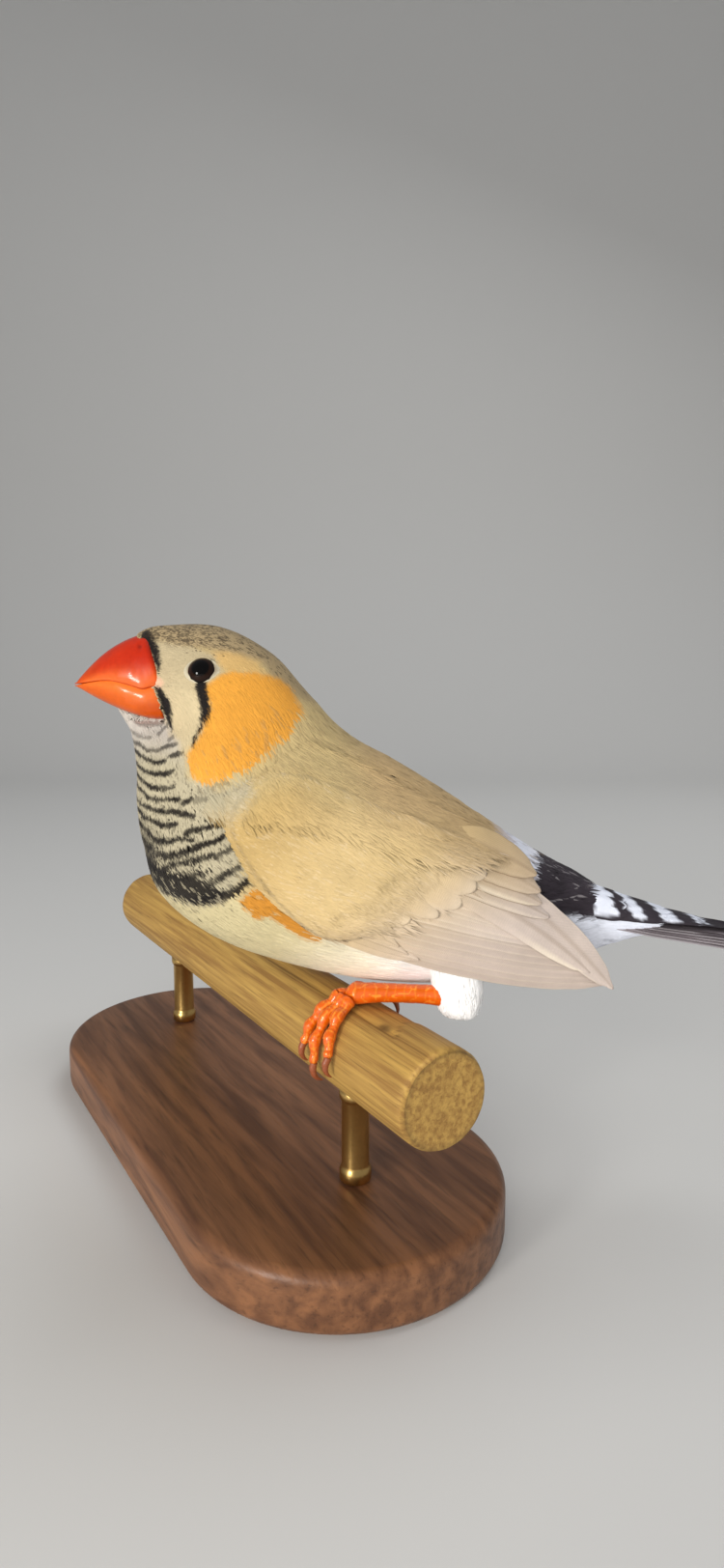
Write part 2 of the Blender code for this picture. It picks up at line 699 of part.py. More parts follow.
def make_uppertail(group, parent):
    """Barred feathers over the tail, in three tiers, the lowest tier the longest."""
    start = TAIL_ROOT[0]
    x = np.array([start, start + 3, start + 7, start + 12, start + 17])
    low = tail_height(x) + GAP + 0.15
    high = np.maximum(upper_covert_height(x) - 0.1, low + 0.4)
    core = slab_core(x, low, high, np.array([4.5, 4.3, 3.9, 3.2, 2.2]))
    pieces = [new_solid("covert_core", *core, "plumage_dark", group, parent)]

    def surface(spot, depth):
        x, y = spot[..., 0], spot[..., 1]
        floor = tail_height(x) + GAP + 0.3
        z = np.maximum(upper_covert_height(x) - 0.085 * y**2, floor) + depth
        return np.stack([x, y, z], -1)

    tiers = (
        (3, start + 6.0, 54.0, 2.2, 3.2, -0.35),
        (3, start + 3.0, 46.5, 2.4, 3.6, -0.1),
        (4, start + 0.6, 39.0, 2.3, 3.9, 0.15),
    )
    for count, root_x, tip_x, half_width, spread, depth in tiers:
        for y in np.linspace(-1, 1, count):
            root = (root_x, y * spread * 0.55)
            tip = (tip_x - 1.6 * y**2, y * spread * 0.75)
            points, faces = vane(
                surface, root, tip, half_width, (depth, depth + 0.1), 0.0, 0.0, 4, 0.35
            )
            pieces.append(
                new_solid("covert", points, faces, "plumage_dark", group, parent)
            )
    union("uppertail_coverts", pieces, "plumage_dark", group, parent)


def under_covert_height(x):
    """Lower line of the white feathers under the tail."""
    return np.interp(x, (29.0, 34.5, 40.0), (-23.6, -22.6, -21.6))


def make_undertail(group, parent):
    """White feathers under the tail root, two tiers on a wedge."""
    start = TAIL_ROOT[0]
    x = np.array([start, start + 3, start + 6, start + 8.5])
    high = tail_height(x) - GAP - np.array([1.75, 2.3, 2.85, 3.2])
    low = np.minimum(under_covert_height(x), high - 0.35)
    core = slab_core(x, low, high, np.array([4.4, 4.2, 3.6, 2.6]))
    pieces = [new_solid("under_core", *core, "plumage_white", group, parent)]

    def surface(spot, depth):
        x, y = spot[..., 0], spot[..., 1]
        roof = tail_height(x) - GAP - 3.9
        z = np.minimum(under_covert_height(x) + 0.1 * y**2, roof) - depth
        return np.stack([x, y, z], -1)

    for count, root_x, tip_x, depth in ((3, start + 2.5, 41.5, -0.2), (4, start + 0.7, 37.0, 0.0)):
        for y in np.linspace(-1, 1, count):
            points, faces = vane(
                surface,
                (root_x, 2.0 * y),
                (tip_x - 1.2 * y**2, 2.7 * y),
                1.9,
                (depth, depth),
                0.0,
                0.0,
                4,
                0.35,
            )
            pieces.append(
                new_solid("under_covert", points, faces, "plumage_white", group, parent)
            )
    union("undertail_coverts", pieces, "plumage_white", group, parent)


def on_rod(hold, along, angle, lift):
    """A point at a height over a rod's skin, at an angle forwards from its top."""
    point, axis, front, radius = (np.asarray(part, float) for part in hold)
    along, angle, lift = np.broadcast_arrays(along, angle, lift)
    up = np.array([0.0, 0.0, 1.0])
    around = front * np.sin(angle)[..., None] + up * np.cos(angle)[..., None]
    return point + axis * along[..., None] + around * (radius + lift)[..., None]


def tube(path, radii, sides=8, flat=1.0, up=(0.0, 0.0, 1.0)):
    """Rings round a path; flat squashes them along the up direction."""
    path = np.asarray(path, float)
    along = np.gradient(path, axis=0)
    along /= np.linalg.norm(along, axis=1, keepdims=True)
    up = np.broadcast_to(np.asarray(up, float), path.shape)
    lift = up - along * (along * up).sum(1, keepdims=True)
    lift /= np.linalg.norm(lift, axis=1, keepdims=True)
    side = np.cross(along, lift)
    turn = np.linspace(0, 2 * np.pi, sides, endpoint=False)
    radii = np.asarray(radii)[:, None]
    rings = [path + (side * np.cos(a) + lift * np.sin(a) * flat) * radii for a in turn]
    return np.array(rings).transpose(1, 0, 2)


def toe(foot, plan, group, parent):
    """One toe and its claw bent round the rod, with swollen pads at its joints."""
    near, far, reach, claw = plan
    hold, side, curl = foot["hold"], foot["side"], foot["curl"]
    start = np.radians(foot["start"])
    t = np.linspace(0, 1, 8)
    turn = start + np.radians(reach * curl) * t
    along = -side * (near + (far - near) * t)
    radius = TOE_RADIUS * (1.0 + 0.14 * np.cos(6 * np.pi * t)) * (1.06 - 0.3 * t)
    path = on_rod(hold, along, turn, GAP + 0.05 + radius)
    claw_turn = turn[-1] + np.radians(claw * curl) * np.linspace(-0.1, 1, 5)
    claw_radius = np.array([0.5, 0.48, 0.38, 0.26, 0.1])
    arch = np.array([0.15, 0.45, 0.6, 0.5, 0.15])
    claw_path = on_rod(hold, along[-1], claw_turn, GAP + 0.05 + claw_radius + arch)
    pieces = []
    centre = np.asarray(hold[0], float)
    axis = np.asarray(hold[1], float)
    for line, radii, sides in ((path, radius, 7), (claw_path, claw_radius, 6)):
        away = line - centre
        away = away - np.outer(away @ axis, axis)
        points, faces = loft(tube(line, radii, sides, up=away))
        pieces.append(new_solid("toe", points, faces, "leg_orange", group, parent))
    return pieces


def leg_shank(pad, hock, swell=0.0):
    """Rings of the bare shank from the foot's joint to the hock."""
    along = (hock - pad) / np.linalg.norm(hock - pad)
    t = np.linspace(0, 1, 8)[:, None]
    lift = 0.45 * np.sin(np.pi * np.clip(t, 0, 1)) ** 0.6
    path = pad + (hock + along * swell - pad) * t + np.array([0, 0, 1.0]) * lift
    radii = TARSUS_RADIUS * (0.86 + 0.24 * (2 * t[:, 0] - 1) ** 2) + swell
    return tube(path, radii, 10)


def make_leg(name, foot, group, parent):
    """The bare shank and foot of one leg, and its feathered thigh."""
    pad = on_rod(foot["hold"], 0.0, np.radians(foot["start"] - 3), GAP + 0.1 + 1.3)
    hock = np.array(foot["hock"])
    pieces = [sphere("foot_pad", pad, 1.35, "leg_orange", group, parent, 10)]
    shank = leg_shank(pad, hock)
    pieces.append(new_solid("shank", *loft(shank), "leg_orange", group, parent))
    for plan in TOES.values():
        pieces += toe(foot, plan, group, parent)
    union("leg_" + name, pieces, "leg_orange", group, parent)
    x, y, low, high = foot["thigh"]
    t = np.linspace(0, 1, 9)
    z = low + (high - low) * (1 - np.cos(np.pi * t / 2))
    path = np.stack([x - 0.8 * t, y * (1 - 0.08 * t), z], -1)
    radii = 3.5 * np.sqrt(np.clip(np.sin(np.pi * (0.03 + 0.6 * t)), 0.05, 1))
    rings = tube(path, radii, 14, up=(0.0, 1.0, 0.0), flat=0.8)
    thigh = new_solid("thigh_core", *loft(rings), "plumage_white", group, parent)
    rings = body_rings(NECK_END, TORSO_END, 21, GAP)
    body = new_solid("body_cutter", *loft(rings), "plumage_white", group, parent)
    rings = leg_shank(pad, hock, GAP)
    sleeve = new_solid("sleeve", *loft(rings), "leg_orange", group, parent)
    difference("thigh_" + name, thigh, [body, sleeve], "plumage_white", group, parent)


def rounded_bar(name, length, radius, edge, finish, group, parent, sides=28):
    """A cylinder along its own Z with bevelled rims."""
    mesh = bpy.data.meshes.new(name)
    shape = bmesh.new()
    bmesh.ops.create_cone(
        shape,
        cap_ends=True,
        segments=sides,
        radius1=radius * MM,
        radius2=radius * MM,
        depth=length * MM,
    )
    shape.to_mesh(mesh)
    shape.free()
    mesh.materials.append(material(finish))
    obj = bpy.data.objects.new(name, mesh)
    group.objects.link(obj)
    obj.parent = parent
    if edge:
        bevel = obj.modifiers.new("edge", "BEVEL")
        bevel.width = edge * MM
        bevel.segments = 2
        bevel.limit_method = "ANGLE"
    return obj


def make_perch(group, parent):
    perch = rounded_bar(
        "perch", PERCH_LENGTH, PERCH_RADIUS, PERCH_EDGE, "perch_wood", group, parent
    )
    perch.rotation_euler = (np.pi / 2, 0.0, PERCH_TURN + np.pi / 2)
    perch.location = (0.0, 0.0, PERCH_HEIGHT * MM)


def make_stand(group, parent):
    """The plinth under the perch, with rounded ends, and the two rods that carry it."""
    mesh = bpy.data.meshes.new("stand_base")
    shape = bmesh.new()
    radius = BASE_WIDTH / 2
    straight = BASE_LENGTH / 2 - radius
    turn = np.linspace(0, np.pi, 17)
    outline = [(straight + radius * np.sin(a), radius * np.cos(a)) for a in turn]
    outline += [(-straight - radius * np.sin(a), -radius * np.cos(a)) for a in turn]
    corners = [shape.verts.new((x * MM, y * MM, 0.0)) for x, y in outline]
    bottom = shape.faces.new(corners)
    raised = bmesh.ops.extrude_face_region(shape, geom=[bottom])["geom"]
    verts = [v for v in raised if isinstance(v, bmesh.types.BMVert)]
    bmesh.ops.translate(shape, verts=verts, vec=(0, 0, BASE_THICKNESS * MM))
    bmesh.ops.recalc_face_normals(shape, faces=shape.faces)
    shape.to_mesh(mesh)
    shape.free()
    mesh.materials.append(material("stand_wood"))
    base = bpy.data.objects.new("stand_base", mesh)
    group.objects.link(base)
    base.parent = parent
    base.rotation_euler = (0.0, 0.0, PERCH_TURN)
    edge = base.modifiers.new("edge", "BEVEL")
    edge.width = BASE_EDGE * MM
    edge.segments = 2
    edge.limit_method = "ANGLE"
    foot = BASE_THICKNESS + GAP
    height = PERCH_HEIGHT - PERCH_RADIUS - GAP - foot
    for name, share in (("stand_rod_front", -0.5), ("stand_rod_back", 0.5)):
        rod = rounded_bar(name, height, ROD_RADIUS, 0.0, "rod_brass", group, parent, 20)
        centre = PERCH_AXIS * (ROD_SPACING * share)
        rod.location = (centre[0] * MM, centre[1] * MM, (foot + height / 2) * MM)


def main():
    clear_scene()
    parts = new_collection("zebra_finch")
    stand = bpy.data.objects.new("stand_origin", None)
    bird = bpy.data.objects.new("bird_origin", None)
    for empty in (stand, bird):
        parts.objects.link(empty)
    bird.location = BIRD_ORIGIN * MM
    make_stand(parts, stand)
    make_perch(parts, stand)
    make_body(parts, bird)
    make_bill(parts, bird)
    make_head(parts, bird)
    for side in (-1, 1):
        make_wing(side, parts, bird)
    make_tail(parts, bird)
    make_uppertail(parts, bird)
    make_undertail(parts, bird)
    for name, foot in FEET.items():
        make_leg(name, foot, parts, bird)


main()
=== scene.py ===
"""A fawn-coloured male zebra finch, life size, on a short wooden perch with a plain stand.

The bird faces -X and its left side faces -Y. Shapes are worked out in millimetres in the
bird's own frame, whose middle plane is y = 0, and written to the meshes in metres.
"""

import bpy
import numpy as np
from mathutils import Matrix


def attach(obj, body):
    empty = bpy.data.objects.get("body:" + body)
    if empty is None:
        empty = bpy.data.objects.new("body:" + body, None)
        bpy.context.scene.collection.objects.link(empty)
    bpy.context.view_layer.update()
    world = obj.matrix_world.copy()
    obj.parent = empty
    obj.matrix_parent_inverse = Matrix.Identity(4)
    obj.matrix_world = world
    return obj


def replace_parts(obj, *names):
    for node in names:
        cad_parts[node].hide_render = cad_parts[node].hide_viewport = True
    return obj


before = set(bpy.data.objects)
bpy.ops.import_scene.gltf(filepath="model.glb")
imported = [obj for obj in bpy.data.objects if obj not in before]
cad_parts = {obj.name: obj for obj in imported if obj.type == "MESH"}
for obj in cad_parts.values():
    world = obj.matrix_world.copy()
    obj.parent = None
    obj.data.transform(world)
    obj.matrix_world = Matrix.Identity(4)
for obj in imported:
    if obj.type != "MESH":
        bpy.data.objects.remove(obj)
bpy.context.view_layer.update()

MM = 0.001
BIRD_ORIGIN = np.array([18.3, -22.2, 62.0])
STAND_ORIGIN = np.zeros(3)
SIDES = {-1: "left", 1: "right"}

# The view: focal length and frame height in pixels, tip below level, distance to the middle
FOCAL_PIXELS = 900.0
FRAME_HEIGHT = 1624.0
CAMERA_TIP = np.radians(7.0)
CAMERA_DISTANCE = 118.42

# The coat: barbs in each part, a barb's ridge and lean, and limits of its pieces and maps
BARB_COUNTS = dict(throat=17500, head=27000, breast=11000, belly=11500, back=9500, cape=7600,
                   thigh=2200, arm=11500, undertail=330)
BARB_RIDGE = 0.25
BARB_LEAN = 0.55
UNDERSIDE_TONE = 0.85
PIECE_LIMIT = 190000
SCATTER_CELLS = 260
HOME_PATCH = 0.003

# Body stations from the bill to the tail: top (x, z), bottom (x, z), half width, egg
STATIONS = (
    ("inside the bill", (-31.1, 19.2), (-32.9, 10.3), 2.2, 0.0),
    ("forehead", (-29.0, 20.7), (-31.9, 8.6), 2.9, -0.15),
    ("brow", (-26.1, 21.3), (-31.2, 7.2), 3.45, -0.2),
    ("crown", (-18.9, 21.1), (-30.4, 4.6), 7.35, 0.02),
    ("hind crown", (-12.1, 17.6), (-30.1, 1.5), 9.5, 0.08),
    ("nape", (-7.1, 12.1), (-30.2, -2.7), 10.7, 0.05),
    ("hind neck", (-2.2, 7.0), (-29.5, -7.8), 12.2, 0.0),
    ("mantle", (4.9, 3.0), (-27.2, -14.8), 13.3, 0.0),
    ("shoulders", (12.1, -1.5), (-18.2, -21.4), 13.5, 0.0),
    ("back", (18.8, -6.0), (-1.4, -26.2), 11.8, 0.0),
    ("loins", (24.9, -9.8), (14.8, -27.2), 8.4, 0.0),
    ("rump", (27.6, -11.2), (22.6, -25.9), 6.4, 0.0),
    ("tail root", (29.7, -12.4), (29.0, -23.5), 4.9, 0.0),
)
TOP = np.array([s[1] for s in STATIONS])
BOTTOM = np.array([s[2] for s in STATIONS])
HALF_WIDTH = np.array([s[3] for s in STATIONS])
EGG = np.array([s[4] for s in STATIONS])
SECTION_POWER = 0.9
TAIL_END = 12.0
COAT_DEPTH = (0.12, 0.22, 0.28, 0.34, 0.44, 0.54, 0.6, 0.62, 0.64, 0.66, 0.64, 0.56, 0.4)

# Bill: distance back from the tip, culmen, mouth and gonys heights, half width
BILL_TIP_X = -38.7
BILL = np.array([
    (0.3, 13.7, 13.45, 13.2, 0.22), (1.2, 14.7, 13.6, 12.75, 0.95), (2.6, 16.1, 13.8, 11.95, 1.75),
    (4.2, 17.5, 14.0, 11.15, 2.5), (6.0, 18.7, 14.0, 10.35, 3.2), (7.6, 19.5, 13.7, 9.75, 3.75),
    (9.0, 20.0, 13.35, 9.35, 4.1), (10.2, 20.3, 13.05, 9.05, 4.3), (11.4, 20.4, 13.3, 8.85, 4.35),
    (12.6, 20.4, 13.4, 8.8, 4.2),
])
NOSTRIL = (-28.9, 18.3)
NOSTRIL_RADIUS = 0.3
BILL_EDGE = ((-25.6, -25.9, -26.8, -26.5, -26.8, -27.2, -27.8, -28.3, -28.9),
             (9.0, 11.0, 13.3, 14.1, 15.6, 16.6, 17.8, 19.2, 20.4))

EYE_CENTRE = (-20.2, 15.4)
EYE_RADIUS = 2.2
EYE_DEPTH = 1.5
LID_RINGS, LID_SIDES = 96, 20

# Folded wing
WRIST = np.array([-16.3, -3.1])
WING_TIP = np.array([32.7, -25.6])
WING_LENGTH = float(np.linalg.norm(WING_TIP - WRIST))
WING_ALONG = (WING_TIP - WRIST) / WING_LENGTH
WING_ACROSS = np.array([-WING_ALONG[1], WING_ALONG[0]])
WING_BULGE = (9.5, 13.2, 14.2, 13.6, 11.8, 9.4, 7.0)
WING_BEND = 0.045
WING_MIDDLE = -2.0
WING_CLEARANCE = 0.6
WING_BLEND = 1.2
WING_SHELL = (
    (-0.7, 2.0), (0.3, -0.5), (2.8, -2.5), (6.2, -4.7), (10.0, -6.3), (14.5, -7.8), (18.5, -7.2),
    (21.5, -4.2), (23.3, 0.0), (23.6, 4.5), (21.5, 7.8), (16.5, 9.0), (11.0, 9.2), (6.0, 9.0),
    (2.5, 7.8), (0.0, 5.0),
)
# Rings of the covered arm: share of its outline and height over the wing's inner face
WING_CORE = ((0.1, 0.0), (0.5, 0.0), (0.97, 0.0), (0.97, 0.1), (0.9, 0.7), (0.76, 1.3), (0.5, 1.8),
             (0.25, 2.0), (0.05, 2.05))
# Heights to the covered arm's top over its share, and of the flight feathers across the wing
SHELL_DOME = ((0, 0.25, 0.52, 0.78, 0.94, 1.0, 1.1), (2.6, 2.55, 2.35, 1.85, 1.15, 0.3, -0.6))
FEATHER_STACK = ((-7, -3, 0, 3, 5, 8, 10), (0.5, 1.0, 1.35, 1.65, 2.1, 2.3, 1.6))
# The wing's lower and upper edges, and the mantle's lower edge over it: along, across
WING_LOW = ((-0.7, 0.3, 2.6, 6.2, 9, 15.3, 21, 26.7, 36.8, 42.7, 53.2),
            (2.1, -0.5, -2.3, -4.7, -5.8, -8, -6.9, -6, -5.3, -3.9, 0))
WING_HIGH = ((-0.5, 0.6, 2.7, 5.5, 9.3, 26.3, 34.7, 39.5, 44.2, 52.9),
             (4.1, 6.3, 8, 8.9, 9, 9.1, 8.9, 6.7, 5, 0.5))
CAPE_EDGE = ((-4, -1, 1, 4, 9, 15, 22, 27), (-2.0, 0.0, 1.6, 3.8, 5.2, 6.2, 7.2, 8.2))
# Flight feathers: count, first and last root, first and last tip, half width, depths, bow
FLIGHT_ROWS = (
    ("primaries", 8, (14.0, -6.0), (15.0, -1.6), (53.6, -0.1), (46.9, 2.8), 1.8, 0.1, 0.8, -1.2),
    ("secondaries", 7, (15.5, -0.8), (18.5, 4.0), (45.8, 3.0), (41.6, 4.4), 2.0, 0.95, 1.4, 0.4),
    ("tertials", 4, (18.5, 5.0), (21.5, 8.4), (41.0, 4.5), (37.4, 7.9), 1.85, 1.5, 2.05, 0.5),
    ("inner vanes", 2, (27.5, 7.2), (24.0, 4.2), (53.8, -0.3), (49.6, 0.3), 2.0, 1.35, 1.45, 0.9),
    ("primary coverts", 4, (12.5, -6.6), (12.5, -5.2), (28.5, -5.8), (23.5, -4.6),
     1.0, 0.45, 0.75, -0.4),
)
# Greater and median coverts: count, first and last root, tips along and across, width
COVERT_ROWS = (
    (8, (8.0, -5.4), (18.0, 6.4),
     ((16.6, 19.4, 23.4, 29.0, 31.2, 31.0), (-5.0, -3.2, -1.8, 0.8, 3.6, 6.2)), 4.2),
    (6, (5.0, -4.4), (14.5, 6.4), ((13.0, 18.6, 24.4), (-4.2, 0.4, 5.8)), 4.6),
)
FLIGHT_SHAPE = dict(blunt=0.2, thick=0.07, close_at=0.55)
TERTIAL_SHAPE = dict(blunt=0.28, thick=0.12, close_at=0.45, sunk=1.9)

TAIL_ROOT = np.array([29.9, -17.2])
TAIL_TIP_X = 61.2
TAIL_SLOPE = np.radians(-7.0)
# Where the barred coverts turn white and black again, along x
BLOCK_EDGES = (30.2, 30.7, 33.5, 33.8, 35.1, 35.4, 37.0, 37.3, 39.6, 40.0, 42.3, 42.7, 45.4, 45.8,
               48.0, 48.4, 50.8, 51.2)
BLOCK_WHITE = (0, 1, 1, 0, 0, 1, 1, 0, 0, 1, 1, 0, 0, 1, 1, 0, 0, 1)
# Tiers of barred coverts: count, root behind the tail's root, tip, half width, spread, depth
COVERT_TIERS = ((5, 6.0, 54.0, 1.7, 3.6, -0.4), (6, 3.0, 48.0, 1.7, 4.2, -0.2),
                (7, 0.8, 42.2, 1.6, 4.4, 0.0), (7, -1.6, 36.4, 1.5, 4.4, 0.15))
# Top line and half width of the barred coverts, low line and half width of those below, by x
ROOF_TOP = ((26.0, 29.5, 35.0, 41.0, 46.0, 50.3, 55.0),
            (-11.6, -12.9, -14.7, -16.6, -17.9, -19.2, -20.4))
ROOF_SIDE = ((26.0, 35.0, 41.0, 47.0, 55.0), (4.3, 4.0, 3.5, 2.9, 2.2))
FLOOR_LOW = ((24.0, 27.0, 30.0, 34.0, 38.0, 43.0), (-24.6, -24.4, -23.6, -22.2, -20.9, -20.2))
FLOOR_SIDE = ((24.0, 30.0, 38.0, 43.0), (4.4, 4.1, 3.4, 2.2))

# Perch, stand and legs
PERCH_RADIUS = 6.25
PERCH_LENGTH = 106.0
PERCH_TURN = np.radians(121.8)
PERCH_HEIGHT = 28.0
BASE_THICKNESS = 8.0
BASE_WIDTH = 46.0
BASE_LENGTH = 104.0
BASE_EDGE = 1.6
ROD_RADIUS = 2.2
ROD_SPACING = 66.0
GAP = 0.3
LEG_Y = 9.0
TARSUS_RADIUS = 1.35
TOE_RADIUS = 0.82
CLAW_AT = (-0.1, 0.17, 0.45, 0.72, 1.0)
PERCH_AXIS = np.array([np.cos(PERCH_TURN), np.sin(PERCH_TURN), 0.0])
PERCH_FRONT = np.array([-np.sin(PERCH_TURN), np.cos(PERCH_TURN), 0.0])
PERCH_FOOT = np.array([2.3, -11.0, PERCH_HEIGHT - BIRD_ORIGIN[2]])
FEET = {
    "left": {
        "side": -1,
        "hold": (PERCH_FOOT + 4.2 * PERCH_AXIS, PERCH_AXIS, PERCH_FRONT, PERCH_RADIUS),
        "start": 22.0,
        "curl": 1.0,
        "hock": (12.6, -LEG_Y, -26.9),
        "thigh": (12.9, -8.9, -29.9, -20.5),
    },
    "right": {
        "side": 1,
        "hold": ((-0.4, 9.6, -24.9), (0.17, 0.985, 0.0), (-0.985, 0.17, 0.0), 1.0),
        "start": 5.0,
        "curl": 2.4,
        "hock": (11.6, 9.2, -23.6),
        "thigh": (12.4, 8.8, -27.0, -19.0),
    },
}
TOES = {
    "inner": (1.2, 3.0, 62, 20),
    "middle": (0.0, 0.3, 76, 22),
    "outer": (-1.2, -3.3, 60, 20),
    "hind": (1.0, 1.6, -66, -30),
}

# Markings as outlines in the side view (x, z), and stripes as (x, z, half width)
CHEEK = ((-19.4, 13.5), (-17.9, 14.5), (-16.5, 15.1), (-15.1, 15.1), (-13.4, 15.1), (-11.7, 14.5),
         (-10.2, 14.0), (-9.2, 12.8), (-8.0, 11.2), (-7.5, 10.3), (-7.6, 8.8), (-8.0, 7.5),
         (-9.1, 6.5), (-10.6, 5.4), (-12.0, 3.9), (-13.6, 2.7), (-15.5, 1.9), (-17.5, 1.4),
         (-19.7, 1.3), (-21.0, 2.2), (-21.6, 3.7), (-21.4, 5.2), (-20.8, 6.2), (-19.8, 7.7),
         (-19.2, 9.3), (-18.8, 10.6), (-19.3, 12.0))
TEAR = ((-20.2, 13.7, 0.75), (-19.9, 12.2, 0.68), (-19.5, 10.9, 0.76), (-19.6, 9.7, 0.6),
        (-19.9, 8.9, 0.38), (-20.2, 8.0, 0.31), (-20.7, 7.0, 0.24), (-21.0, 6.1, 0.16))
LORE_UP = ((-28.3, 19.9, 0.7), (-27.4, 18.6, 0.8), (-26.8, 17.6, 0.72), (-26.5, 16.6, 0.6),
           (-26.3, 15.7, 0.38), (-26.4, 14.9, 0.2))
LORE_LOW = ((-26.4, 12.8, 0.4), (-25.8, 11.9, 0.75), (-25.4, 10.9, 0.85), (-25.1, 9.9, 0.7),
            (-24.9, 9.0, 0.45), (-24.5, 8.2, 0.2), (-24.2, 7.6, 0.12))
FACE = ((-28.5, 19.6), (-24.0, 18.6), (-20.5, 17.9), (-18.2, 17.2), (-17.6, 15.2), (-19.4, 13.6),
        (-19.3, 12.0), (-19.0, 10.4), (-19.9, 7.8), (-21.2, 5.8), (-22.6, 5.4), (-24.4, 7.0),
        (-26.0, 9.2), (-27.6, 12.0))
BUFF = ((-19.0, 17.6), (-15.5, 17.4), (-13.2, 16.3), (-12.4, 14.9), (-16.6, 15.0), (-18.4, 16.6))
THROAT = ((-34.0, 11.4), (-28.0, 11.0), (-26.0, 9.6), (-24.6, 7.8), (-23.0, 6.0), (-21.8, 3.6),
          (-21.1, 1.9), (-17.6, 0.8), (-13.4, 1.6), (-12.6, 0.4), (-14.6, -3.0), (-14.6, -10.2),
          (-17.0, -13.6), (-22.0, -15.4), (-34.0, -14.0))
BREAST = ((-31.0, -9.6), (-26.9, -9.2), (-25.1, -9.8), (-23.9, -10.3), (-21.8, -10.6),
          (-19.9, -10.7), (-18.5, -11.2), (-17.6, -11.9), (-17.6, -13.4), (-20.9, -14.4),
          (-24.1, -13.9), (-27.2, -13.0), (-31.0, -12.4))
FLANK = ((-14.9, -13.0), (-12.9, -11.7), (-10.0, -10.6), (-8.6, -12.6), (-6.0, -15.0),
         (-3.4, -17.6), (-5.6, -18.7), (-7.6, -17.6), (-9.3, -16.4), (-10.8, -15.6),
         (-12.8, -15.7), (-14.2, -14.5))
BELLY = ((-30.0, -12.8), (-24.1, -14.2), (-20.9, -14.6), (-18.2, -14.2), (-15.4, -12.9),
         (-11.0, -11.0), (4.0, -15.0), (20.0, -17.5), (32.0, -17.5), (32.0, -34.0), (-30.0, -34.0))
RUMP = ((19.5, -4.0), (22.5, -5.0), (25.5, -12.5), (22.5, -15.0), (19.5, -10.5))
BLACK_BAND = ((25.4, -8.0), (36.0, -9.0), (36.0, -17.4), (23.5, -17.4), (21.8, -13.2),
              (24.0, -10.8))
RUMP_WHITE = ((21.6, -5.0), (25.6, -7.0), (25.0, -10.6), (22.6, -12.8), (21.2, -9.0))
CROWN = ((-33.0, 19.2), (-28.2, 19.3), (-24.0, 18.4), (-20.5, 17.9), (-17.0, 17.5), (-13.0, 16.4),
         (-11.4, 14.6), (-8.4, 11.8), (-5.0, 10.6), (-5.0, 26.0), (-33.0, 26.0))
